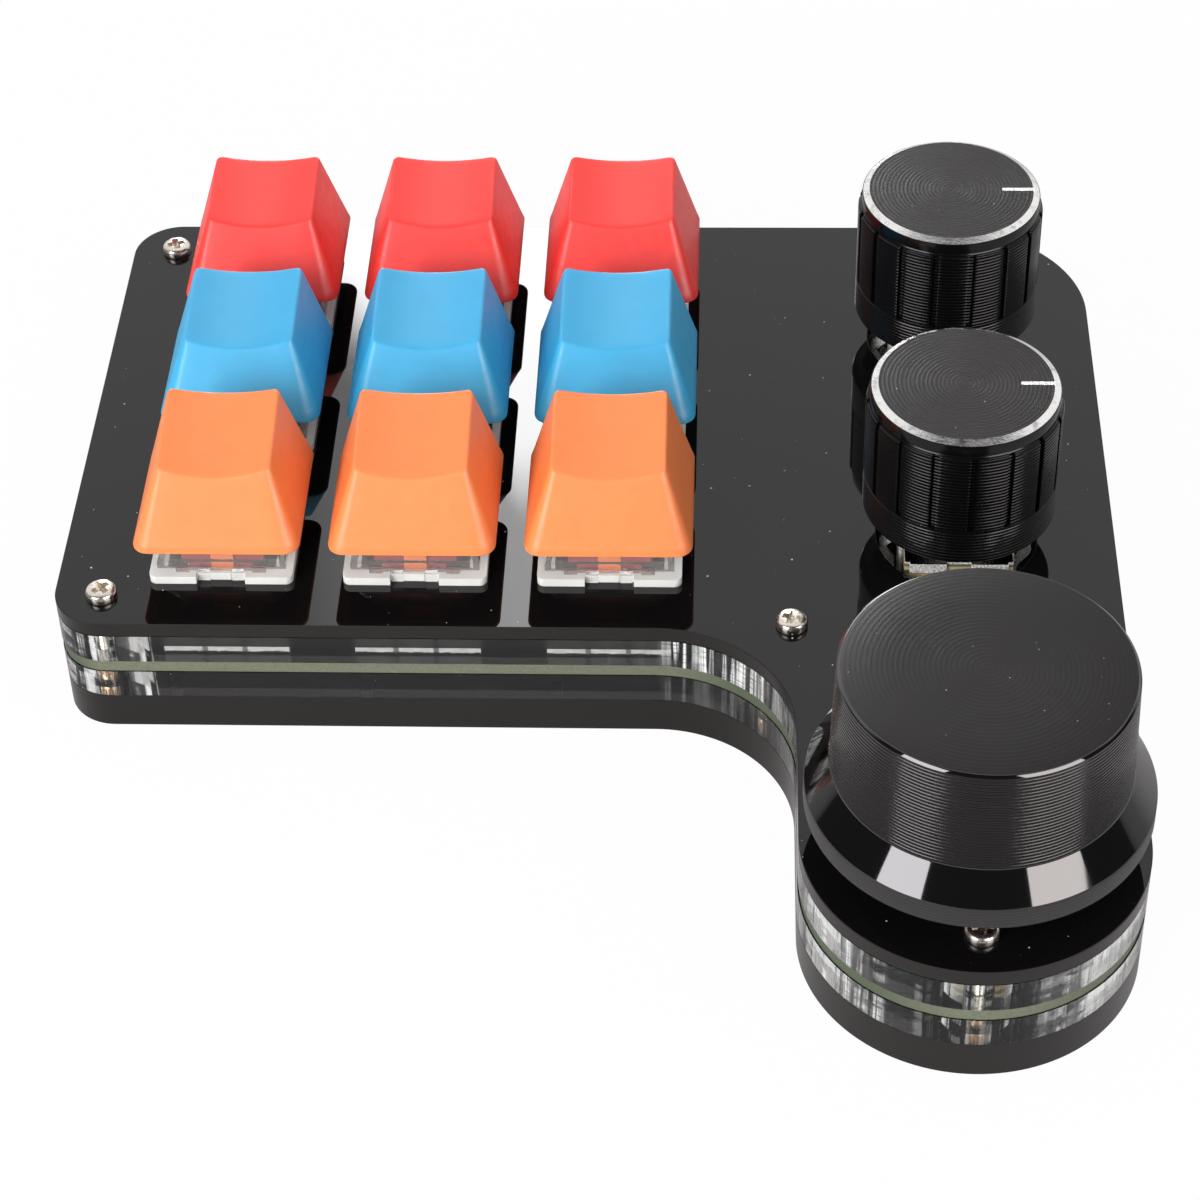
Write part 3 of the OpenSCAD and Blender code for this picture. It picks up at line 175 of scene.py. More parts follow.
class Finish(Nodes):
    """A material, with its patterns laid out in millimetres."""

    def __init__(self, name, color, rough, **values):
        self.mat = bpy.data.materials.new(name)
        self.mat.use_nodes = True
        super().__init__(self.mat.node_tree)
        self.shader = self.tree.nodes["Principled BSDF"]
        self.out = self.tree.nodes["Material Output"]
        self.set(Base_Color=(*color, 1), Roughness=rough, **values)
        where = self.tree.nodes.new("ShaderNodeTexCoord").outputs["Object"]
        self.mm = self.add("ShaderNodeVectorMath", where, (1 / MM,) * 3, operation="MULTIPLY")
        FINISHES[name] = self

    def set(self, **values):
        for key, value in values.items():
            self.join(self.shader.inputs[key.replace("_", " ")], value)

    def at(self, axis):
        """The point's place along an axis, in millimetres."""
        return self.add("ShaderNodeSeparateXYZ", self.mm, out=axis)

    def facing(self, axis):
        """The surface's normal along an axis."""
        return self.add("ShaderNodeSeparateXYZ", self.add("ShaderNodeNewGeometry", out=1), out=axis)

    def spread(self, size):
        """Coordinates in which a pattern repeats every size millimetres."""
        return self.add("ShaderNodeVectorMath", self.mm, tuple(1 / s for s in size), operation="MULTIPLY")

    def noise(self, size, detail=2.0, rough=0.5):
        size = size if isinstance(size, tuple) else (size,) * 3
        where = self.spread(size)
        return self.add("ShaderNodeTexNoise", Vector=where, Scale=1.0, Detail=detail, Roughness=rough)

    def mix(self, share, a, b):
        """A colour that goes from a to b."""
        a, b = ((*c, 1) if isinstance(c, tuple) else c for c in (a, b))
        return self.add("ShaderNodeMix", share, *[None] * 5, a, b, out=2, data_type="RGBA")

    def bump(self, height, depth, strength=1.0):
        """Adds relief that is depth millimetres deep where height goes from 0 to 1."""
        self.set(Normal=self.add("ShaderNodeBump", Strength=strength, Distance=depth * MM, Height=height))

    def dust(self, size=4.0, dot=0.022, share=0.8):
        """1 on a few tiny specks that lie on level faces, and 0 elsewhere."""
        where = self.spread((size,) * 3)
        far = self.add("ShaderNodeTexVoronoi", Vector=where, Scale=1.0, voronoi_dimensions="2D")
        luck = self.add("ShaderNodeSeparateColor", far.node.outputs["Color"])
        near = self.math("LESS_THAN", far, self.map(luck, share, 1.0, 0.35 * dot, dot))
        chosen = self.math("GREATER_THAN", luck, share)
        return self.product(near, chosen, self.math("SUBTRACT", 1.0, self.side(0.8)))

    def side(self, limit=0.5):
        """1 on upright faces and 0 on level ones."""
        return self.math("LESS_THAN", self.math("ABSOLUTE", self.facing(2)), limit)


def lamp(name, turn, rise, far, size, radiance, kinds, color=(1, 1, 1)):
    """A lamp that only lights the kinds of ray named in kinds. turn is its angle from the front."""
    a, e = math.radians(turn - 90), math.radians(rise)
    place = [far * math.cos(a) * math.cos(e), far * math.sin(a) * math.cos(e), AIM[2] + far * math.sin(e)]
    data = bpy.data.lights.new(name, "AREA")
    data.shape, data.size, data.size_y = "RECTANGLE", *size
    data.energy = radiance * math.pi * size[0] * size[1]
    data.color = color
    obj = put(name, data)
    obj.location = place
    obj.rotation_euler = (Vector(AIM) - Vector(place)).to_track_quat("-Z", "Y").to_euler()
    obj.visible_camera = False
    obj.visible_transmission = "transmission" in kinds
    obj.visible_glossy = "glossy" in kinds
    obj.visible_diffuse = "diffuse" in kinds


def lamps():
    """The two softboxes that the gloss shows, and the lamps that light the matt surfaces."""
    for side, turn, wide, level, color in SOFTBOXES:
        size = (wide, SOFTBOX_H)
        lamp("softbox_" + side, turn, SOFTBOX_RISE, SOFTBOX_FAR, size, level, ("glossy",), color)
    matt = ("diffuse", "transmission")
    lamp("key", -38, 25, LAMP_FAR, (0.7, 0.7), 11.0, matt, (1, 0.995, 0.985))
    lamp("fill", 50, 45, LAMP_FAR, (0.8, 0.8), 1.9, matt)


def sky():
    """White for the camera. The gloss sees a room, dim in front and bright behind, and a brighter card."""
    world = bpy.data.worlds.new("studio")
    world.use_nodes = True
    bpy.context.scene.world = world
    world.cycles.sampling_method = "NONE"
    n = Nodes(world.node_tree)
    n.tree.nodes.clear()
    way = n.add("ShaderNodeTexCoord")
    x, y, z = (n.add("ShaderNodeSeparateXYZ", way, out=axis) for axis in range(3))

    def soft(value, a, b, low, high):
        return n.map(value, a, b, low, high, "SMOOTHSTEP")

    # The card is behind the keys. turn is the way to the side, and foot the height over a slanting line.
    turn = n.math("DIVIDE", x, y)
    foot = n.math("SUBTRACT", z, n.map(turn, -0.151, -0.088, 0.608, 0.655))
    glow = n.math("MAXIMUM", soft(foot, -0.016, 0.016, 15.5, 0.0), soft(turn, -0.16, -0.088, 1.0, 4.7))
    card = n.product(soft(turn, -0.200, -0.160, 0.0, 1.0), soft(turn, -0.070, -0.054, 1.0, 0.0), glow,
                     soft(z, 0.68, 0.76, 1.0, 0.0), soft(y, 0.2, 0.3, 0.0, 1.0))
    back = n.math("SUBTRACT", y, soft(z, 0.2, 0.5, 0.45, 0.0))
    room = n.math("ADD", n.map(back, -0.12, 0.1, 0.045, 0.92), card)
    ray = n.rays()
    level = n.add("ShaderNodeMix", ray["Is Glossy Ray"], None, SKY_SEEN, room)
    level = n.add("ShaderNodeMix", ray["Is Diffuse Ray"], None, level, SKY_LIT)
    light = n.add("ShaderNodeBackground", (1, 1, 1, 1), level)
    n.join(n.tree.nodes.new("ShaderNodeOutputWorld").inputs[0], light)


def floor():
    """A pale disc, which is dimmer in the gloss, most of all beside the object, and as a source of light."""
    bm = bmesh.new()
    radii = [FLOOR_R * (i / FLOOR_RINGS) ** 3 for i in range(1, FLOOR_RINGS + 1)]
    rings = [[bm.verts.new((*p, 0)) for p in circle(0, 0, r, FLOOR_SIDES)] for r in radii]
    bm.faces.new(rings[0])
    for a, b in zip(rings, rings[1:]):
        band(bm, b, a)
    mesh = bpy.data.meshes.new("floor")
    bm.to_mesh(mesh)
    bm.free()
    disc = put("floor", mesh)
    paint = Finish("pale_floor", (0.86, 0.86, 0.86), 0.9, Specular_IOR_Level=0.0)
    ray = paint.rays()
    tint = paint.mix(ray["Is Glossy Ray"], (1.0, 1.0, 1.0), (1.0, 0.93, 0.94))
    aside = paint.math("ABSOLUTE", paint.at(0))
    not_behind = paint.map(paint.math("DIVIDE", paint.at(1), aside), 0.45, 0.75, 1.0, 0.0)
    beside = paint.product(paint.map(aside, 130, 260), not_behind)
    dim = paint.product(ray["Is Glossy Ray"], paint.map(beside, 0, 1, -0.53, -0.93))
    level = paint.math("ADD", dim, paint.math("MULTIPLY_ADD", ray["Is Diffuse Ray"], -0.35, 1.0))
    glow = paint.add("ShaderNodeEmission", tint, level)
    share = paint.math("MULTIPLY_ADD", ray["Is Camera Ray"], 0.35, 0.62)
    paint.join(paint.out.inputs[0], paint.add("ShaderNodeMixShader", share, paint.shader.outputs[0], glow))
    mesh.materials.append(paint.mat)


# ---- Mesh helpers ----
def finish_mesh(name, bm, body, slot, smooth, finishes=None, stands=True):
    """Turns a bmesh in millimetres into a piece that rides on its body, and stands for the node of its name
    unless stands is false. Its finish is the slot's, or those named in finishes."""
    bmesh.ops.recalc_face_normals(bm, faces=bm.faces)
    mesh = bpy.data.meshes.new(name + "_finished" * stands)
    bm.to_mesh(mesh)
    bm.free()
    mesh.transform(Matrix.Scale(MM, 4))
    for finish in finishes or (slot,):
        mesh.materials.append(FINISHES[finish].mat)
    obj = put(mesh.name, mesh)
    mesh.shade_smooth()
    if smooth:
        mesh.set_sharp_from_angle(angle=math.radians(smooth))
    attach(obj, body)
    if stands:
        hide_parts(name)
    return obj


def band(bm, a, b, finish=0):
    """Faces between two rings of points. Either ring may be a single point."""
    n = max(len(a), len(b))
    for j in range(n):
        k = (j + 1) % n
        low = a if len(a) == 1 else [a[j], a[k]]
        high = b if len(b) == 1 else [b[k], b[j]]
        bm.faces.new(low + high).material_index = finish


def circle(x, y, r, n=48):
    return [(x + r * math.cos(TAU * i / n), y + r * math.sin(TAU * i / n)) for i in range(n)]


def arc(centre, r, start, end, step=2.5):
    n = max(2, round(abs(end - start) / step))
    turns = [math.radians(start + (end - start) * i / n) for i in range(n + 1)]
    return [(centre[0] + r * math.cos(a), centre[1] + r * math.sin(a)) for a in turns]


def outline(inset=0.0):
    """The case's plan, anticlockwise from the rear left corner."""
    return (
        arc((LEFT + CORNER_R, REAR - CORNER_R), CORNER_R - inset, 90, 180, 5)
        + arc((LEFT + CORNER_R, WING_Y + CORNER_R), CORNER_R - inset, 180, 270, 5)
        + arc(WAIST, WAIST_R + inset, 90, 0)
        + arc(LOBE, LEG_R - inset, 180, 360)
        + arc((RIGHT - SHOULDER_R, REAR - SHOULDER_R), SHOULDER_R - inset, 0, 90)
    )


def dense(loop, step=0.4):
    out = []
    for a, b in zip(loop, loop[1:] + loop[:1]):
        n = max(1, math.ceil(math.dist(a, b) / step))
        out += [(a[0] + (b[0] - a[0]) * i / n, a[1] + (b[1] - a[1]) * i / n) for i in range(n)]
    return out


def inside(p, loop):
    hit = False
    for a, b in zip(loop, loop[1:] + loop[:1]):
        if (a[1] > p[1]) != (b[1] > p[1]) and p[0] < (b[0] - a[0]) * (p[1] - a[1]) / (b[1] - a[1]) + a[0]:
            hit = not hit
    return hit


def inner_wall():
    """The inner side of a spacer's wall, with a round pad at each screw."""
    region = outline(WALL)
    loop = dense(region)
    for x, y in SCREWS:
        near = [math.dist(p, (x, y)) < PAD_R for p in loop]
        start = next(i for i in range(len(loop)) if near[i] and not near[i - 1])
        loop, near = loop[start:] + loop[:start], near[start:] + near[:start]
        end = len(near) - next(i for i in range(len(near)) if near[-1 - i]) if near[-1] else near.index(False)
        first, last = (math.degrees(math.atan2(p[1] - y, p[0] - x)) for p in (loop[-1], loop[end]))
        for turn in ((last - first) % 360, (last - first) % 360 - 360):
            way = arc((x, y), PAD_R, first, first + turn, 6)
            if inside(way[len(way) // 2], region):
                loop = way + loop[end:]
                break
    return loop


def offset(loop, d):
    """The loop moved to its left by d, with its corners kept sharp."""
    out = []
    for i, p in enumerate(loop):
        a, b = loop[i - 1], loop[(i + 1) % len(loop)]
        u = Vector((p[0] - a[0], p[1] - a[1])).normalized()
        v = Vector((b[0] - p[0], b[1] - p[1])).normalized()
        m = Vector((-u.y - v.y, u.x + v.x))
        if m.length < 1e-6:
            m = Vector((-u.y, u.x))
        m.normalize()
        reach = max(0.3, m.dot((-u.y, u.x)))
        out.append((p[0] + m.x * d / reach, p[1] + m.y * d / reach))
    return out


def prism(bm, loops, z0, z1, edge=0.0):
    """Walls along loops, the first anticlockwise and the holes clockwise, with soft edges and flat ends."""
    levels = [(edge, z0), (0, z0 + edge), (0, z1 - edge), (edge, z1)] if edge else [(0, z0), (0, z1)]
    ends = {0: [], len(levels) - 1: []}
    for loop in loops:
        rings = []
        for d, z in levels:
            rings.append([bm.verts.new((x, y, z)) for x, y in (offset(loop, d) if d else loop)])
        for a, b in zip(rings, rings[1:]):
            band(bm, a, b)
        for level in ends:
            ring = rings[level]
            ends[level] += [bm.edges.get((ring[j], ring[(j + 1) % len(ring)])) for j in range(len(ring))]
    for edges in ends.values():
        bmesh.ops.triangle_fill(bm, use_beauty=True, edges=edges)


def revolve(bm, profile, place=(0, 0, 0), n=96, shape=None, finishes=None, closed=False):
    """Turns profile, as (radius, height) points, about an upright axis. shape may change the radius."""
    rings = []
    for r, z in profile:
        if r < 1e-6:
            rings.append([bm.verts.new((place[0], place[1], place[2] + z))])
            continue
        ring = []
        for j in range(n):
            a = TAU * j / n
            rr = shape(r, z, a) if shape else r
            x, y = place[0] + rr * math.cos(a), place[1] + rr * math.sin(a)
            ring.append(bm.verts.new((x, y, place[2] + z)))
        rings.append(ring)
    pairs = list(zip(rings, rings[1:]))
    if closed:
        pairs.append((rings[-1], rings[0]))
    for i, (a, b) in enumerate(pairs):
        band(bm, a, b, finishes[i] if finishes else 0)


def rounded(points, r, steps=3):
    """The polyline with its corners rounded; r is one radius, or one for each point."""
    out = []
    last = len(points) - 1
    for i, p in enumerate(points):
        radius = r[i] if isinstance(r, (list, tuple)) else r
        if not radius or i in (0, last):
            out.append(p)
            continue
        p = Vector(p)
        u, v = Vector(points[i - 1]) - p, Vector(points[i + 1]) - p
        start = p + u.normalized() * min(radius, u.length / 2)
        end = p + v.normalized() * min(radius, v.length / 2)
        for s in range(steps + 1):
            t = s / steps
            out.append(tuple(start * (1 - t) ** 2 + p * 2 * t * (1 - t) + end * t * t))
    return out


def dressed(node, slot, bevel=0.0, finishes=None, pick=None):
    """A CAD node's mesh with soft edges, which stands for the node. pick gives each face's finish."""
    source = frame["nodes"][node]
    bm = bmesh.new()
    bm.from_mesh(source.data)
    bmesh.ops.transform(bm, matrix=Matrix.Scale(1 / MM, 4), verts=bm.verts)
    bmesh.ops.remove_doubles(bm, verts=bm.verts, dist=0.002)
    level = math.radians(0.6)
    bmesh.ops.dissolve_limit(bm, angle_limit=level, verts=bm.verts, edges=bm.edges, delimit={"NORMAL"})
    if pick:
        bm.normal_update()
        for face in bm.faces:
            face.material_index = pick(face)
    obj = finish_mesh(node, bm, source["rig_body"], slot, 0 if bevel else 30, finishes)
    if bevel:
        soft = obj.modifiers.new("soft_edges", "BEVEL")
        soft.width, soft.segments, soft.limit_method = bevel * MM, 2, "ANGLE"
        soft.angle_limit = math.radians(32)
        soft.use_clamp_overlap = True
        soft.harden_normals = False
        obj.data.set_sharp_from_angle(angle=math.radians(180))
        angle = obj.modifiers.new("normals", "WEIGHTED_NORMAL")
        angle.keep_sharp = True
    return obj


# ---- Materials: names, colours, roughness, and the sizes and depths of the patterns ----
IOR_ACRYLIC = 1.49
NYLON = (0.85, 0.84, 0.81)


def acrylic_black():
    """Gloss sheet with a little dust. Its cut sides are rougher, and its soft edges are the roughest."""
    face, cut_side, speck = (0.0045, 0.004, 0.0042), (0.0065, 0.0045, 0.0045), (0.62, 0.60, 0.58)
    f = Finish("black_acrylic", face, 0.03, IOR=IOR_ACRYLIC)
    side, upright = f.side(0.97), f.side(0.2)
    polish = f.mix(f.map(f.noise(9.0, 4.0, 0.65), 0.45, 0.75), (0.02,) * 3, (0.06,) * 3)
    f.set(Roughness=f.mix(side, polish, f.mix(upright, (0.75,) * 3, (0.24,) * 3)))
    dust = f.math("MAXIMUM", f.dust(4.5, 0.026, 0.72), f.dust(2.3, 0.020, 0.88))
    f.set(Base_Color=f.mix(dust, f.mix(side, face, cut_side), speck))
    f.bump(f.product(f.noise((0.35, 0.35, 60.0), 3.0, 0.6), side), 0.012, 0.5)


def acrylic_clear():
    """Clear sheet. Its cut sides are calm where they are straight, and frosted in streaks where they turn."""
    f = Finish("clear_acrylic", (0.97, 0.985, 0.975), 0.02, IOR=IOR_ACRYLIC, Transmission_Weight=1.0)
    turn = f.math("ABSOLUTE", f.facing(0))
    x, y, z = (f.at(axis) for axis in range(3))
    waist = f.product(f.math("GREATER_THAN", x, WAIST[0] - 5), f.math("GREATER_THAN", y, WAIST[1] - 8))
    upper = f.map(f.math("GREATER_THAN", z, Z_BOARD), 0, 1, 0.10, 1.0)
    at_waist = f.product(waist, f.map(turn, 0.01, 0.05), f.map(turn, 0.55, 0.95, 1.0, 0.2), upper)
    beside = f.math("ABSOLUTE", f.math("SUBTRACT", x, LOBE[0] - 7.7))
    window = f.math("MAXIMUM", f.map(beside, 1.2, 1.8), f.math("GREATER_THAN", y, LOBE[1]))
    patches = f.map(f.noise((4.0, 4.0, 1.3), 2.0), 0.43, 0.56)
    elsewhere = f.product(f.math("SUBTRACT", 1.0, waist), window, f.map(turn, 0.25, 0.5),
                          f.map(turn, 0.85, 1.0, 0.62, 0.25), patches)
    wide = f.map(f.noise((1.7, 1.7, 40.0), 2.0, 0.65), 0.47, 0.53)
    fine = f.map(f.noise((0.24, 0.24, 14.0), 2.0, 0.6), 0.34, 0.60, 0.15, 1.0)
    level = f.map(f.noise((4.0, 4.0, 0.16), 2.0, 0.6), 0.35, 0.55, 0.45, 1.0)
    frost = f.product(f.math("ADD", at_waist, elsewhere), wide, fine, level, f.side())
    f.set(Transmission_Weight=f.math("SUBTRACT", 1.0, f.product(frost, 0.9)))
    f.set(Roughness=f.map(frost, 0, 1, 0.02, 0.4))
    f.bump(f.product(f.noise((0.42, 0.42, 9.0), 1.0, 0.5), f.map(turn, 0.6, 0.9), f.side()), 0.03)
    see_through(f, (0.95, 0.955, 0.95))


def see_through(f, tint):
    """Light reaches what lies behind a clear piece, without being bent."""
    ray = f.rays()
    share = f.math("MAXIMUM", ray["Is Shadow Ray"], ray["Is Diffuse Ray"])
    plain = f.add("ShaderNodeBsdfTransparent", (*tint, 1))
    f.join(f.out.inputs[0], f.add("ShaderNodeMixShader", share, f.shader.outputs[0], plain))


def clear_cover():
    f = Finish("clear_cover", (0.96, 0.94, 0.935), 0.05, IOR=1.52, Transmission_Weight=0.94)
    f.bump(f.noise(0.9, 2.0), 0.01, 0.6)
    see_through(f, (0.93, 0.93, 0.93))


def board_finish():
    """Dark solder mask over tracks, and a pale fibrous edge, darker where it faces left as painted shade."""
    f = Finish("circuit_board", (0.01, 0.012, 0.011), 0.35, IOR=1.5)
    fibre = f.noise((0.25, 0.25, 0.09), 3.0, 0.6)
    edge = f.mix(f.map(fibre, 0.35, 0.7), (0.108, 0.122, 0.080), (0.188, 0.202, 0.138))
    # Painted shade on the edge where it faces left.
    edge = f.mix(f.map(f.facing(0), -0.12, -0.6), edge, (0.075, 0.095, 0.058))
    track = f.add("ShaderNodeTexBrick", Vector=f.spread((5.5, 2.2, 1.0)), Color1=(0, 0, 0, 1),
                  Color2=(0.3, 0.3, 0.3, 1), Mortar=(1, 1, 1, 1), Scale=1.0, Mortar_Size=0.03)
    mask = f.mix(track, (0.006, 0.008, 0.007), (0.014, 0.022, 0.017))
    f.set(Base_Color=f.mix(f.side(), mask, edge), Roughness=f.mix(f.side(), (0.25,) * 3, (0.55,) * 3))
    f.bump(track, 0.03, 0.6)


def metal(name, color, rough, grain=0.5, depth=0.004, stretch=(1, 1, 1), wear=0.25):
    """A metal whose polish varies from place to place."""
    f = Finish(name, color, rough, Metallic=1.0)
    patch = f.noise(tuple(1.6 * s for s in stretch), 3.0, 0.6)
    f.set(Roughness=f.map(patch, 0.3, 0.7, rough * (1 - wear), rough * (1 + wear)))
    f.set(Base_Color=f.mix(f.map(patch, 0.35, 0.7), color, tuple(c * 0.82 for c in color)))
    f.bump(f.noise(tuple(grain * s for s in stretch), 2.0), depth)
    return f


def plastic(name, color, rough, grain=0.22, depth=0.006, vary=0.06, **values):
    """A moulded plastic: a fine even grain, and a colour that is not quite even."""
    f = Finish(name, color, rough, **values)
    dark, light = (tuple(min(1, c * (1 + v)) for c in color) for v in (-vary, vary))
    f.set(Base_Color=f.mix(f.map(f.noise(3.5, 3.0, 0.6), 0.3, 0.7), dark, light))
    f.set(Roughness=f.map(f.noise(1.1, 2.0), 0.3, 0.7, rough - 0.05, rough + 0.06))
    f.bump(f.noise(grain, 2.0, 0.6), depth)
    return f


def anodised(name, color, rough, ridge=0.0, pitch=0.3, **values):
    """Black anodised aluminium with a little dust, smooth or with worn ridges round it."""
    f = Finish(name, color, rough, **values)
    patch = f.noise(4.0, 4.0, 0.65)
    f.set(Base_Color=f.mix(f.dust(), f.mix(patch, tuple(0.75 * c for c in color), color), (0.4, 0.39, 0.38)))
    if ridge:
        wave = f.math("SINE", f.product(f.at(2), TAU / pitch))
        wear = f.map(f.noise((1.6, 1.6, pitch * 1.5), 2.0), 0.3, 0.65, 0.80, 1.0)
        f.bump(f.product(f.math("MULTIPLY_ADD", wave, 0.5, 0.5), wear), ridge)


def make_finishes():
    acrylic_black()
    acrylic_clear()
    board_finish()
    metal("screw_steel", (0.84, 0.78, 0.70), 0.27, 0.5, 0.016)
    metal("insert_brass", (0.50, 0.36, 0.25), 0.34)
    plastic("white_nylon", NYLON, 0.42, Subsurface_Weight=0.15, Subsurface_Radius=(1, 1, 1),
            Subsurface_Scale=0.0008)
    nylon_front_painted_light()
    clear_cover()
    metal("contact_copper", (0.80, 0.45, 0.25), 0.3)
    plastic("stem_orange", (0.95, 0.26, 0.08), 0.38)
    # A dark copy of the stem's orange, painted shade for its body behind the clear wall.
    plastic("stem_painted_shade", (0.36, 0.07, 0.065), 0.38)
    caps = ((0.92, 0.036, 0.028), (0.036, 0.39, 0.70), (0.96, 0.243, 0.066))
    for name, color in zip(CAP_COLOR.values(), caps):
        plastic(name, color, 0.42, 0.16, 0.006, 0.03, Subsurface_Weight=0.10, Subsurface_Scale=0.0005,
                Subsurface_Radius=(1.0, 0.5, 0.3), IOR=1.62)
        # Each cap's inside and foot get a painted-shade copy of its colour, 0.12 as bright.
        plastic(name + "_inside", tuple(0.12 * c for c in color), 0.55, 0.16, 0.006, 0.03)
    metal("spring_steel", (0.7, 0.7, 0.7), 0.2)
    phenolic()
    cover_steel()
    metal("terminal_metal", (0.85, 0.80, 0.68), 0.28)
    plastic("rotor_nylon", (0.75, 0.72, 0.62), 0.45)
    metal("shaft_metal", (0.7, 0.69, 0.67), 0.25, 0.3, 0.004, (6, 6, 0.3))
    plastic("core_plastic", (0.02, 0.02, 0.022), 0.45)
    metal("grub_steel", (0.25, 0.25, 0.26), 0.35)
    metal("socket_steel", (0.78, 0.77, 0.75), 0.22, 0.6, 0.004, (1, 8, 1))
    plastic("tongue_plastic", (0.015, 0.015, 0.016), 0.4)
    chip()
    metal("crystal_metal", (0.8, 0.79, 0.76), 0.3, 0.4, 0.004, (0.3, 4, 1))
    plastic("diode_body", (0.03, 0.03, 0.032), 0.35)
    plastic("capacitor_body", (0.03, 0.42, 0.33), 0.3, 0.2, 0.004)
    black = (0.003, 0.003, 0.0035)
    anodised("knob_side", black, 0.20, 0.115, 0.42, IOR=1.32)
    anodised("knob_plain", black, 0.17, 0.10, 0.42, IOR=1.5)
    anodised("knob_band", black, 0.16, IOR=1.4)
    bright_edge()
    anodised("knob_gloss", (0.002, 0.002, 0.0025), 0.05, IOR=1.88)
    anodised("large_side", (0.0115, 0.0098, 0.0098), 0.17, 0.120, 0.42, IOR=1.50)
    anodised("large_rim", (0.02, 0.019, 0.019), 0.42, 0.02, 0.4, IOR=1.5)


def knob_top(name, place, color, rough, pitch, depth):
    """A faced top with a little dust, and with turning marks, which are rings about the knob's axis."""
    f = Finish(name, color, rough, IOR=1.34)
    x, y = (f.math("SUBTRACT", f.at(axis), place[axis]) for axis in (0, 1))
    r = f.math("SQRT", f.math("ADD", f.product(x, x), f.product(y, y)))
    wave = f.math("SINE", f.product(r, TAU / pitch))
    uneven = f.add("ShaderNodeTexNoise", W=f.product(r, 3.1), noise_dimensions="1D", Detail=3.0)
    f.bump(f.math("ADD", f.math("MULTIPLY_ADD", wave, 0.3, 0.3), f.product(uneven, 0.6)), depth)
    f.set(Base_Color=f.mix(f.dust(3.0, 0.022, 0.8), color, (0.45, 0.44, 0.43)))


def cover_steel():
    """Polished, and darker on top as painted shade; with a coarse white grain on its folded sides."""
    f = metal("encoder_steel", (0.9, 0.88, 0.84), 0.4, 0.3, 0.05, (1, 1, 0.7), 0.4)
    side = f.side(0.7)
    grain = f.map(f.noise(0.24, 3.0, 0.7), 0.42, 0.60)
    # The top's darker colour is painted shade, for the shade under the knob.
    f.set(Base_Color=f.mix(side, (0.34, 0.33, 0.32), f.mix(grain, (0.40, 0.39, 0.37), (0.97, 0.96, 0.93))),
          Metallic=f.map(side, 0, 1, 1.0, 0.35), Roughness=f.map(side, 0, 1, 0.14, 0.5))


def bright_edge():
    """Bare cut aluminium, bright in places and dull in others."""
    f = Finish("knob_edge", (0.9, 0.89, 0.87), 0.16, Metallic=1.0)
    patch = f.noise(1.3, 4.0, 0.7)
    f.set(Roughness=f.map(patch, 0.35, 0.65, 0.10, 0.34))
    f.set(Base_Color=f.mix(f.map(patch, 0.5, 0.72), (0.92, 0.91, 0.89), (0.42, 0.42, 0.44)))
    f.bump(f.noise(0.35, 3.0, 0.7), 0.03)


def phenolic():
    """The encoder's laminate, in layers, each with the share of the base's height where it starts."""
    f = Finish("encoder_phenolic", (0.3, 0.24, 0.15), 0.5)
    share = f.math("DIVIDE", f.math("SUBTRACT", f.at(2), Z_UPPER), 6.3)
    color = f.add("ShaderNodeValToRGB", share)
    ramp = color.node.color_ramp
    ramp.interpolation = "CONSTANT"
    layers = ((0, (0.012, 0.012, 0.011)), (0.34, (0.05, 0.045, 0.03)), (0.52, (0.02, 0.018, 0.015)),
              (0.66, (0.42, 0.30, 0.15)), (0.80, (0.05, 0.07, 0.035)), (0.88, (0.40, 0.31, 0.17)),
              (0.96, (0.10, 0.09, 0.06)))
    while len(ramp.elements) < len(layers):
        ramp.elements.new(1.0)
    for element, (start, shade) in zip(ramp.elements, layers):
        element.position, element.color = start, (*shade, 1)
    f.set(Base_Color=color)
    f.bump(f.noise((0.6, 0.6, 0.08), 3.0), 0.03)


def nylon_front_painted_light():
    """The front of a switch's lower body. Its emission is painted light, for light coming through the clear
    sheet; a strip under the plate is dark painted shade, and two slots glow less."""
    f = plastic("nylon_front_painted_light", NYLON, 0.42)
    rag = f.noise((0.5, 0.5, 0.3), 2.0, 0.6)
    ragged = f.math("MULTIPLY_ADD", rag, 0.5, f.math("SUBTRACT", f.at(2), 0.25))
    # This mask is 1 where the painted glow goes, and 0 in the painted-shade strip under the plate.
    painted_glow_mask = f.math("LESS_THAN", ragged, Z_TOP - 0.28)
    start = f.math("SUBTRACT", f.at(0), KEY_X[0] - KEY_PITCH / 2)
    across = f.math("SUBTRACT", f.math("MODULO", start, KEY_PITCH), KEY_PITCH / 2)
    # The two slots get less painted glow.
    for slot in (-2.4, 2.0):
        beside = f.math("GREATER_THAN", f.math("ABSOLUTE", f.math("SUBTRACT", across, slot)), 0.3)
        painted_glow_mask = f.product(painted_glow_mask, f.map(beside, 0, 1, 0.25, 1.0))
    uneven = f.map(f.noise((1.2, 1.2, 0.4), 3.0, 0.6), 0.3, 0.7, 0.30, 0.58)
    # Painted shade: dark colour in the strip. Painted light: an emission glow, though the part is no lamp.
    f.set(Base_Color=f.mix(painted_glow_mask, (0.08, 0.08, 0.08), NYLON))
    f.set(Emission_Color=(0.98, 0.96, 0.96, 1), Emission_Strength=f.product(painted_glow_mask, uneven))


def chip():
    """Black body, with bright leads below it."""
    body = (0.018, 0.018, 0.019)
    f = plastic("chip_black", body, 0.45, 0.1, 0.01)
    lead = f.math("LESS_THAN", f.math("SUBTRACT", f.at(2), Z_UPPER), 0.24)
    f.set(Metallic=lead, Base_Color=f.mix(lead, body, (0.7, 0.7, 0.69)))


# ---- Pieces ----
def holes(places, r, n=48):
    return [circle(x, y, r, n)[::-1] for x, y in places]


def sheet(node, slot, loops, z0, z1, edge=0.0):
    bm = bmesh.new()
    prism(bm, loops, z0, z1, edge)
    finish_mesh(node, bm, "base", slot, 30 if edge else 40)


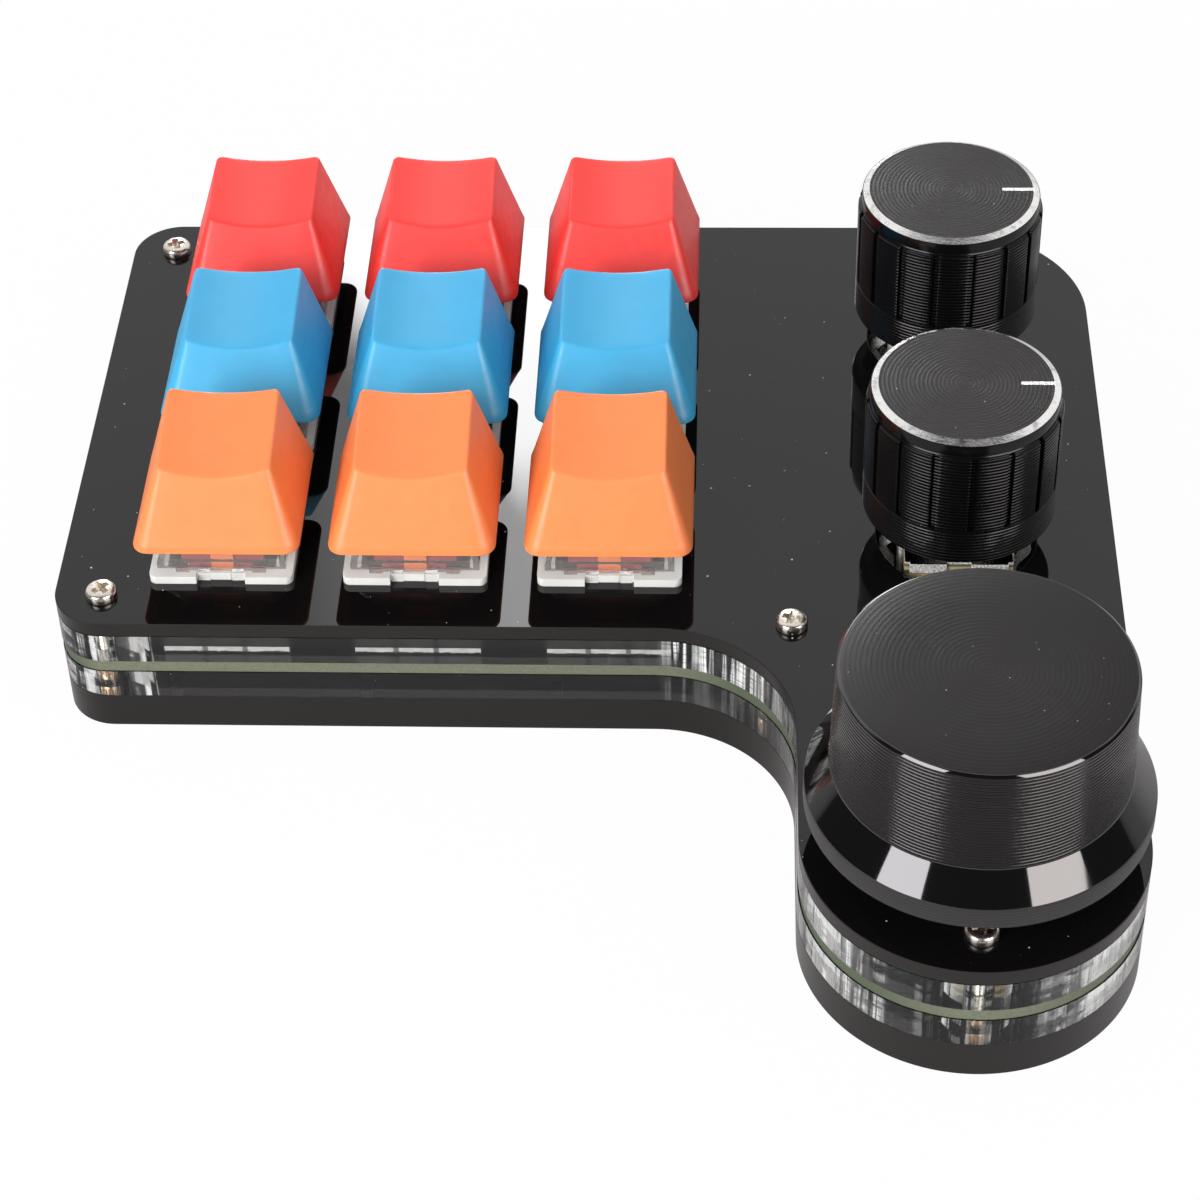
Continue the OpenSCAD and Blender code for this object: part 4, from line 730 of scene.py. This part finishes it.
def plates():
    screw_holes = holes(SCREWS, SCREW_HOLE_R, 32)
    half = KEY_HOLE_W / 2
    corners = ((-half, -half), (-half, half), (half, half), (half, -half))
    key_holes = [[(x + dx, y + dy) for dx, dy in corners] for x, y in KEYS]
    cutouts = key_holes + holes(ENCODERS, ENCODER_HOLE_R, 96) + screw_holes
    sheet("top_plate", "black_acrylic", [outline()] + cutouts, Z_TOP, Z_FACE, 0.09)
    sheet("bottom_plate", "black_acrylic", [outline()], 0, Z_LOWER, 0.12)
    inner = inner_wall()
    loops = [outline(), inner[::-1]] + holes(SCREWS, INSERT_HOLE_R)
    sheet("lower_spacer", "clear_acrylic", loops, Z_LOWER + SHEET_GAP, Z_BOARD - SHEET_GAP)

    # The upper spacer is open at the USB socket, so its outline and its inner wall are one loop.
    x0, x1 = USB_X - USB_SLOT / 2, USB_X + USB_SLOT / 2
    slot = [i for i, (x, y) in enumerate(inner) if x0 < x < x1 and y > REAR - WALL - 0.1]
    cut = next(i + 1 for i in slot if i + 1 not in slot)
    inner = inner[cut:] + inner[:cut]
    inner = [(x0, REAR - WALL)] + inner[: len(inner) - len(slot)] + [(x1, REAR - WALL)]
    around = [(x0, REAR)] + outline() + [(x1, REAR)] + inner[::-1]
    sheet("upper_spacer", "clear_acrylic", [around] + screw_holes, Z_UPPER + SHEET_GAP, Z_TOP - SHEET_GAP)
    dressed("circuit_board", "circuit_board")


SCREW_TIP, THREAD_TURNS, THREAD_PITCH, THREAD_CORE, THREAD_R = -12, 29, 0.4, 0.78, 1.0
SCREW_HEAD = [(1.62, 0.0), (1.72, 0.12), (1.72, 0.72), (1.5, 1.1), (0.9, 1.25), (0, 1.3)]
SCREW_TURNS = (0.35, 0.8, 1.25, 0.1, 0.6)
INSERT_PROFILE = [(1.05, 0), (1.5, 0), (1.7, 0.2), (1.7, 0.6), (1.69, 0.75), (1.69, 2.9), (1.7, 3.1),
                  (1.7, 3.6), (1.69, 3.75), (1.69, 5.6), (1.6, 5.9), (1.5, 6), (1.05, 6)]
INSERT_Z, INSERT_RIBS = 2.0, 24


def recess():
    """What the head's cross recess is cut with: four bars, every second one shorter and shallower."""
    tool = bmesh.new()
    for arm in range(4):
        c, s = math.cos(arm * TAU / 8), math.sin(arm * TAU / 8)
        long, wide, floor_z = (1.2, 0.32, 0.35) if arm % 2 == 0 else (0.80, 0.17, 0.85)
        corners = [(-long, -wide), (long, -wide), (long, wide), (-long, wide)]
        low, high = ([tool.verts.new((a * u * c - b * v * s, a * u * s + b * v * c, z)) for u, v in corners]
                     for a, b, z in ((0.45, 1, floor_z), (1.05, 1.2, 1.6)))
        tool.faces.new(low[::-1])
        tool.faces.new(high)
        band(tool, low, high)
    return tool


def screws():
    profile = [(0, SCREW_TIP), (0.75, SCREW_TIP)]
    for turn in range(THREAD_TURNS):
        z = SCREW_TIP + 0.2 + turn * THREAD_PITCH
        profile += [(THREAD_CORE, z), (THREAD_R, z + 0.16)]
    profile += [(0.85, -0.02), (1.62, -0.02)]
    profile += rounded(SCREW_HEAD, [0, 0.1, 0.3, 0.35, 0.4, 0])
    bm = bmesh.new()
    for (x, y), turn in zip(SCREWS, SCREW_TURNS):
        part = bmesh.new()
        revolve(part, profile, n=48)
        cut_into(part, recess())
        place = Matrix.Translation((x, y, Z_FACE)) @ Matrix.Rotation(turn, 4, "Z")
        bmesh.ops.transform(part, matrix=place, verts=part.verts)
        mesh = bpy.data.meshes.new("screw")
        part.to_mesh(mesh)
        part.free()
        bm.from_mesh(mesh)
        bpy.data.meshes.remove(mesh)
    finish_mesh("case_screws", bm, "base", "screw_steel", 30)

    def ribbed(r, z, a):
        return r - (0.16 if math.cos(INSERT_RIBS * a) < 0 and r > 1.5 and z % 3.0 > 0.7 else 0)

    bm = bmesh.new()
    for x, y in SCREWS:
        revolve(bm, INSERT_PROFILE, (x, y, INSERT_Z), 96, ribbed, closed=True)
    finish_mesh("screw_inserts", bm, "base", "insert_brass", 30)


def cut_into(part, tool):
    """Takes the solids of tool, which may overlap, away from part."""
    both = []
    for bm in (part, tool):
        bmesh.ops.recalc_face_normals(bm, faces=bm.faces)
        mesh = bpy.data.meshes.new("cut")
        bm.to_mesh(mesh)
        both.append(put("cut", mesh))
    tool.free()
    cut = both[0].modifiers.new("cut", "BOOLEAN")
    cut.operation, cut.solver, cut.object, cut.use_self = "DIFFERENCE", "EXACT", both[1], True
    depsgraph = bpy.context.evaluated_depsgraph_get()
    mesh = bpy.data.meshes.new_from_object(both[0].evaluated_get(depsgraph))
    part.clear()
    part.from_mesh(mesh)
    for obj in both:
        bpy.data.meshes.remove(obj.data)
    bpy.data.meshes.remove(mesh)


# Keycaps. A row's top is its rear edge and its front edge: (place behind the axis, height over the plate).
CAP_TOP = {
    "rear": ((6.9, 15.1), (-3.9, 13.7)),
    "middle": ((8.1, 14.4), (-3.9, 13.2)),
    "front": ((7.2, 15.3), (-4.2, 13.4)),
}
CAP_W, CAP_TOP_W, CAP_FOOT, CAP_WALL, CAP_CEILING = 18.1, 12.2, 5.35, 1.3, 11.05
CAP_FOOT_R, CAP_TOP_R, CAP_SOFT = 1.8, 0.75, 0.32
DISH_R, DISH_RIM = 23.0, 0.1
SIDE_START, SIDE_RINGS, EDGE_RINGS, TOP_RINGS = 0.012, 9, 5, 9
TUBE_R, TUBE_Z, POST_TOP = 2.7, 6.75, 10.4
CROSS_LONG, CROSS_X, CROSS_Y = 2.05, 0.6, 0.7  # half the cross hole's length, and half its bars' widths


def cap_ring(half_x, y0, y1, r, per_side=9, per_corner=7):
    """A rounded rectangle, anticlockwise from its rear right corner, always with as many points."""
    x, low, high = half_x - r, y0 + r, y1 - r
    centres = ((x, high), (-x, high), (-x, low), (x, low))
    ends = ((-x, y1), (-half_x, low), (x, y0), (half_x, high))
    out = []
    for index, (centre, (x1, y1)) in enumerate(zip(centres, ends)):
        out += arc(centre, r, 90 * index, 90 * index + 90, 90 / per_corner)
        x0, y0 = out[-1]
        out += [(x0 + (x1 - x0) * i / per_side, y0 + (y1 - y0) * i / per_side) for i in range(1, per_side)]
    return out


def keycap(row, column):
    (rear_y, rear_z), (front_y, front_z) = CAP_TOP[row]
    x, y = KEY_X[COLUMNS.index(column)], KEY_Y[ROWS.index(row)]
    half = CAP_W / 2
    dish_half = CAP_TOP_W / 2 - DISH_RIM
    lift = math.sqrt(DISH_R**2 - dish_half**2)

    def side_z(py, t):
        """Height of the side at share t of the way up, on the tilted level there."""
        y0, y1 = -half + (front_y + half) * t, half + (rear_y - half) * t
        z0, z1 = CAP_FOOT + (front_z - CAP_FOOT) * t, CAP_FOOT + (rear_z - CAP_FOOT) * t
        return z0 + (z1 - z0) * (py - y0) / (y1 - y0)

    def dip(px):
        return max(0.0, math.sqrt(DISH_R**2 - px * px) - lift) if abs(px) < dish_half else 0.0

    def top_z(px, py):
        return side_z(py, 1.0) - dip(px)

    def outer(t, inset=0.0):
        """The ring round the outside at share t of the way up."""
        r = CAP_FOOT_R + (CAP_TOP_R - CAP_FOOT_R) * t
        return cap_ring(half + (CAP_TOP_W / 2 - half) * t - inset, -half + (front_y + half) * t + inset,
                        half + (rear_y - half) * t - inset, max(0.2, r - inset))

    def on_side(levels):
        """The ring on the side whose points lie each at their own share of the way up."""
        points = [outer(t)[j] for j, t in enumerate(levels)]
        return [(*p, side_z(p[1], t)) for p, t in zip(points, levels)]

    def meet(j):
        """The share of the way up at which the side meets the dished top, at point j of the rings."""
        low, high = 0.8, 1.0
        for _ in range(14):
            t = (low + high) / 2
            px, py = outer(t)[j]
            low, high = (t, high) if side_z(py, t) < top_z(px, py) else (low, t)
        return low

    bm = bmesh.new()
    rings = []

    def ring(points):
        rings.append([bm.verts.new((x + px, y + py, Z_FACE + pz)) for px, py, pz in points])

    # The inside first, from the ceiling down to the foot, then the outside up to the top.
    inner = half - CAP_WALL
    depth = CAP_CEILING - CAP_FOOT
    lean_front = depth / (front_z - CAP_FOOT) * (half + front_y)
    lean_rear = depth / (rear_z - CAP_FOOT) * (half - rear_y)
    narrow = (CAP_W - CAP_TOP_W) * depth / ((front_z + rear_z) / 2 - CAP_FOOT) / 2
    for t in (1.0, 0.66, 0.33, 0.0):
        level = cap_ring(inner - narrow * t, -inner + lean_front * t, inner - lean_rear * t, 0.6)
        ring([(*p, CAP_FOOT + depth * t) for p in level])
    lining = len(rings)
    for t, inset, rise in ((0, 0.22, 0), (0, 0.06, 0.06), (SIDE_START, 0, 0.22)):
        ring([(*p, CAP_FOOT + rise) for p in outer(t, inset)])
    tops = [meet(j) for j in range(len(rings[0]))]
    drop = CAP_SOFT / 8.9  # the edge's softness as a share of the way up
    for i in range(1, SIDE_RINGS + 1):
        below = on_side([SIDE_START + (t - drop - SIDE_START) * i / SIDE_RINGS for t in tops])
        ring(below)
    edge = [outer(t)[j] for j, t in enumerate(tops)]
    above = [outer(t, CAP_SOFT)[j] for j, t in enumerate(tops)]
    for i in range(1, EDGE_RINGS + 1):
        t = i / EDGE_RINGS
        shares = ((1 - t) ** 2, 2 * t * (1 - t), t * t)
        ring([tuple(sum(share * p[k] for share, p in zip(shares, (a, (*b, top_z(*b)), (*c, top_z(*c)))))
                    for k in range(3)) for a, b, c in zip(below, edge, above)])
    mid_y = (rear_y + front_y) / 2
    for i in range(1, TOP_RINGS + 1):
        k = 1 - i / (TOP_RINGS + 1)
        level = [(px * k, mid_y + (py - mid_y) * k) for px, py in above]
        ring([(*p, top_z(*p)) for p in level])
    # The inside and the foot's underside take the painted-shade copy of the cap's colour.
    for i, (a, b) in enumerate(zip(rings, rings[1:])):
        band(bm, a, b, 1 if i < lining else 0)
    band(bm, rings[-1], [bm.verts.new((x, y + mid_y, Z_FACE + top_z(0, mid_y)))])
    bm.faces.new(rings[0][::-1]).material_index = 1

    # The tube that takes the stem's cross post.
    u, v, w = CROSS_X, CROSS_Y, CROSS_LONG
    cross = [(u, v), (u, w), (-u, w), (-u, v), (-w, v), (-w, -v),
             (-u, -v), (-u, -w), (u, -w), (u, -v), (w, -v), (w, v)]
    tube = circle(x, y, TUBE_R)
    prism(bm, [tube, [(x + px, y + py) for px, py in cross[::-1]]], Z_FACE + TUBE_Z, Z_FACE + POST_TOP)
    prism(bm, [tube], Z_FACE + POST_TOP, Z_FACE + CAP_CEILING)
    key, color = "%s_%s" % (row, column), CAP_COLOR[row]
    finish_mesh("keycap_" + key, bm, "key_" + key, color, 50, (color, color + "_inside"))


def switches():
    # The fronts of the switch bases, below the top plate, take the finish with painted light and painted
    # shade.
    def on_front(face):
        place = face.calc_center_median()
        y = min(KEY_Y, key=lambda y: abs(y - place.y))
        return 1 if place.z < Z_TOP and face.normal.y < -0.9 and place.y - y < -6 else 0

    dressed("switch_bases", "white_nylon", 0.14, ("white_nylon", "nylon_front_painted_light"), on_front)
    dressed("switch_covers", "clear_cover", 0.12)
    for row, y in zip(ROWS, KEY_Y):
        for column, x in zip(COLUMNS, KEY_X):
            def on_body(face):
                """1 on the stem's body, in painted shade, and 0 on the rib at its front."""
                place = face.calc_center_median()
                return 0 if abs(place.x - x) < RIB_W / 2 + 0.1 and place.y - y < RIB_Y else 1

            key = "%s_%s" % (row, column)
            dressed("stem_" + key, "stem_orange", 0.08, ("stem_orange", "stem_painted_shade"), on_body)
            spring(key)
    cover_clips()


def spring(key):
    """A key's spring, on a mesh of its own."""
    piece = dressed("spring_" + key, "spring_steel")
    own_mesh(piece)


def cover_clips():
    """The clear covers reach down into the notches of the flanges, on both sides of each catch."""
    bm = bmesh.new()
    wide, apart, foot, top, inner, outer = 1.35, 1.83, 0.03, 1.5, 6.98, 7.3
    side = rounded([(inner, foot), (outer, foot), (outer, top - 0.2), (inner, top)], [0, 0.12, 0.1, 0])
    for x, y in KEYS:
        for way, middle in ((-1, -apart), (-1, apart), (1, -apart), (1, apart)):
            ends = [[bm.verts.new((x + middle + at, y + way * out, Z_FACE + z)) for out, z in side]
                    for at in (-wide / 2, -wide / 4, wide / 4, wide / 2)]
            for a, b in zip(ends, ends[1:]):
                band(bm, a, b)
            bm.faces.new(ends[0])
            bm.faces.new(ends[-1][::-1])
    finish_mesh("cover_clips", bm, "base", "clear_cover", 30, stands=False)


SMALL_Z, SMALL_R, SMALL_TOP, SMALL_EDGE = 20.2, 10.4, 16.1, 9.2
FLUTES, FLUTE_HALF_W, FLUTE_DEPTH = 16, 0.325, 0.5
FLUTE_LIP, FLUTE_LIP_W = 0.03, 0.14  # the edge of a groove is a little lower than the side
LINE_START, LINE_END, LINE_HALF_W, LINE_RISE = 5.95, 9.3, 0.27, 0.015


def small_knob(name, index, turn):
    """A turned knob: plain foot, grooved side, ledge, gloss band, bright edge, and a flat top with a line."""
    x, y = ENCODERS[index]
    cycle, flute, first = TAU / FLUTES, FLUTE_HALF_W / SMALL_R, math.radians(turn)
    stops = [0.0]
    for reach in (FLUTE_HALF_W - 0.03, FLUTE_HALF_W + 0.03, FLUTE_HALF_W + 0.16):
        stops += [reach / SMALL_R, cycle - reach / SMALL_R]
    stops = sorted(stops + [flute + (cycle - 2 * flute) * i / 9 for i in range(1, 9)])
    angles = [first + cycle * i + a for i in range(FLUTES) for a in stops]

    def groove(a):
        off = abs((a - first + cycle / 2) % cycle - cycle / 2) * SMALL_R
        if off < FLUTE_HALF_W:
            return FLUTE_DEPTH
        return FLUTE_LIP * max(0.0, 1 - (off - FLUTE_HALF_W) / FLUTE_LIP_W)

    side, plain, gloss, bright, top = range(5)
    rows = [(8.3, 13.1, plain), (8.3, 0.25, plain), (8.5, 0, plain), (10.15, 0, plain), (10.33, 0.07, plain),
            (SMALL_R, 0.25, plain), (SMALL_R, 4.1, plain), (SMALL_R, 4.22, plain), (10.28, 4.26, plain),
            (10.28, 4.34, plain), (SMALL_R, 4.4, plain), (SMALL_R, 4.41, side), (SMALL_R, 8, side),
            (SMALL_R, 13.7, side), (10.36, 13.86, side), (10.08, 14.28, side), (10.08, 14.29, gloss),
            (10.0, 14.4, gloss), (10.0, 15.58, gloss), (9.97, 15.66, gloss), (9.9, 15.7, bright),
            (9.25, 16.07, bright), (SMALL_EDGE, SMALL_TOP, top), (6.0, SMALL_TOP, top), (3.0, SMALL_TOP, top)]
    bm = bmesh.new()
    rings = []
    for r, z, part in rows:
        radii = [r - groove(a) if part == side else r for a in angles]
        rings.append([bm.verts.new((x + rr * math.cos(a), y + rr * math.sin(a), SMALL_Z + z))
                      for rr, a in zip(radii, angles)])
    rings.append([bm.verts.new((x, y, SMALL_Z + SMALL_TOP))])
    for (_, _, part), a, b in zip(rows, rings, rings[1:]):
        band(bm, a, b, part)
    bm.faces.new(rings[0][::-1]).material_index = plain

    # The line on the top, a slim inlay with a round inner end.
    line = [(LINE_START + px, py) for px, py in arc((0, 0), LINE_HALF_W, 90, 270, 180 / 8)]
    line += [(LINE_END, -LINE_HALF_W), (LINE_END, LINE_HALF_W)]
    before = set(bm.faces)
    level = SMALL_Z + SMALL_TOP
    prism(bm, [[(x + px, y + py) for px, py in line]], level - 0.1, level + LINE_RISE)
    for face in bm.faces:
        if face not in before:
            face.material_index = bright
    knob_top(name + "_top", (x, y), (0.0160, 0.0135, 0.0137), 0.26, 0.45, 0.009)
    finishes = ("knob_side", "knob_plain", "knob_band", "knob_edge", name + "_top")
    body = name.replace("_knob", "_pressing")
    finish_mesh(name, bm, body, "knob_black", 27, finishes)
    dressed(name + "_core", "core_plastic", 0.12)


LARGE_Z, LARGE_TOP, TUBE_OUTER_R, SCREW_BORE_R, SCREW_BORE_Z = 21.2, 17.4, 6.5, 1.5, 7.6


def large_knob():
    """A cup with a flared skirt, a tube inside it for the shaft, and a bore at the back for the set screw."""
    place = (*LOBE, LARGE_Z)
    side, rim, gloss, top = range(4)
    parts = [  # radius, height, softness of the corner, finish up to the next
        (TUBE_OUTER_R, 13.4, 0, rim), (12.0, 13.4, 0.3, rim), (12.0, 0.0, 0.2, rim), (17.1, 0.0, 0.14, rim),
        (17.1, 2.4, 0.14, gloss), (14.7, 5.5, 0.1, side), (14.3, 17.12, 0.04, gloss),
        (14.02, LARGE_TOP, 0.06, top), (9.0, LARGE_TOP, 0, top), (4.0, LARGE_TOP, 0, top),
        (0, LARGE_TOP, 0, top)]
    tube = [(TUBE_OUTER_R, 13.4), (TUBE_OUTER_R, 1.2), (6.3, 1.0), (4.5, 1.0), (4.3, 1.2), (4.3, 7.9),
            (3.05, 7.9), (3.05, 10.4), (0, 10.4)]
    profile, finishes = [], []
    for i, (r, z, soft, part) in enumerate(parts):
        if soft:
            got = rounded([parts[i - 1][:2], (r, z), parts[i + 1][:2]], [0, soft, 0])[1:-1]
        else:
            got = [(r, z)]
        profile += got
        finishes += [parts[i - 1][3]] * (len(got) - 1) + [part]
    bm = bmesh.new()
    revolve(bm, profile, place, 160, finishes=finishes)
    revolve(bm, tube, place, finishes=[rim] * len(tube))
    tool = bmesh.new()
    revolve(tool, [(0, 9.5), (SCREW_BORE_R, 9.5), (SCREW_BORE_R, 22), (0, 22)], n=32)
    axis = Matrix.Translation((*LOBE, LARGE_Z + SCREW_BORE_Z)) @ Matrix.Rotation(-TAU / 4, 4, "X")
    bmesh.ops.transform(tool, matrix=axis, verts=tool.verts)
    cut_into(bm, tool)
    knob_top("large_top", place, (0.0078, 0.0060, 0.0061), 0.28, 0.5, 0.007)
    finishes = ("large_side", "large_rim", "knob_gloss", "large_top")
    finish_mesh("large_knob", bm, "large_pressing", "knob_black", 24, finishes)
    dressed("large_knob_screw", "grub_steel", 0.06)


# The bowed leg of an encoder's cover, from the top down, as (distance from the middle, height).
LEG_BOW = [(6.3, 15.6), (6.35, 15.0), (8.15, 13.3), (7.9, 12.5), (6.7, 10.6), (6.7, Z_UPPER + 0.02)]
LEG_THICK, LEG_HALF_W, LEG_TIP_HALF_W, LEG_TIP_Z, LEG_BEHIND = 0.3, 0.9, 0.65, 11, 0.6


def encoders():
    dressed("encoder_bases", "encoder_phenolic", 0.1)
    dressed("encoder_covers", "encoder_steel", 0.1)
    dressed("encoder_bushings", "encoder_steel", 0.05)
    dressed("encoder_terminals", "terminal_metal", 0.05)
    for name in ("rear", "middle", "large"):
        dressed(name + "_shaft", "shaft_metal", 0.15)
        dressed(name + "_rotor", "rotor_nylon", 0.1)

    # The legs snap into the board, one on each side of each cover.
    bm = bmesh.new()
    bow = rounded(LEG_BOW, 0.25)
    for x, y, way in ((x, y, way) for x, y in ENCODERS for way in (-1, 1)):
        rings = []
        for i, (out, z) in enumerate(bow):
            (a, za), (b, zb) = bow[max(0, i - 1)], bow[min(len(bow) - 1, i + 1)]
            u, v = Vector((zb - za, a - b)).normalized() * LEG_THICK / 2
            wide = LEG_HALF_W if z > LEG_TIP_Z else LEG_TIP_HALF_W
            rings.append([bm.verts.new((x + way * (out + s * u), y + LEG_BEHIND + t * wide, z + s * v))
                          for s, t in ((-1, -1), (1, -1), (1, 1), (-1, 1))])
        for a, b in zip(rings, rings[1:]):
            band(bm, a, b)
        bm.faces.new(rings[0])
        bm.faces.new(rings[-1][::-1])
    finish_mesh("encoder_legs", bm, "base", "encoder_steel", 40, stands=False)


def electronics():
    dressed("usb_socket", "socket_steel", 0.06)
    dressed("usb_tongue", "tongue_plastic", 0.06)
    dressed("controller_chip", "chip_black", 0.06)
    dressed("crystal", "crystal_metal", 0.15)
    dressed("key_diodes", "diode_body", 0.05)
    dressed("board_capacitors", "capacitor_body", 0.08)


def carried_over():
    """The CAD nodes that stay as they are get their finish."""
    slots = {p["node"]: p["material_slot"] for p in frame["record"]["subparts"]}
    for node, obj in frame["nodes"].items():
        if not obj.hide_render:
            obj.data.materials.clear()
            obj.data.materials.append(FINISHES[slots[node]].mat)


bpy.context.scene.view_settings.view_transform = "Standard"
camera()
sky()
lamps()
floor()
make_finishes()
plates()
screws()
switches()
for row in ROWS:
    for column in COLUMNS:
        keycap(row, column)
small_knob("rear_knob", 0, 11.25)
small_knob("middle_knob", 1, 2.7)
large_knob()
encoders()
electronics()
carried_over()
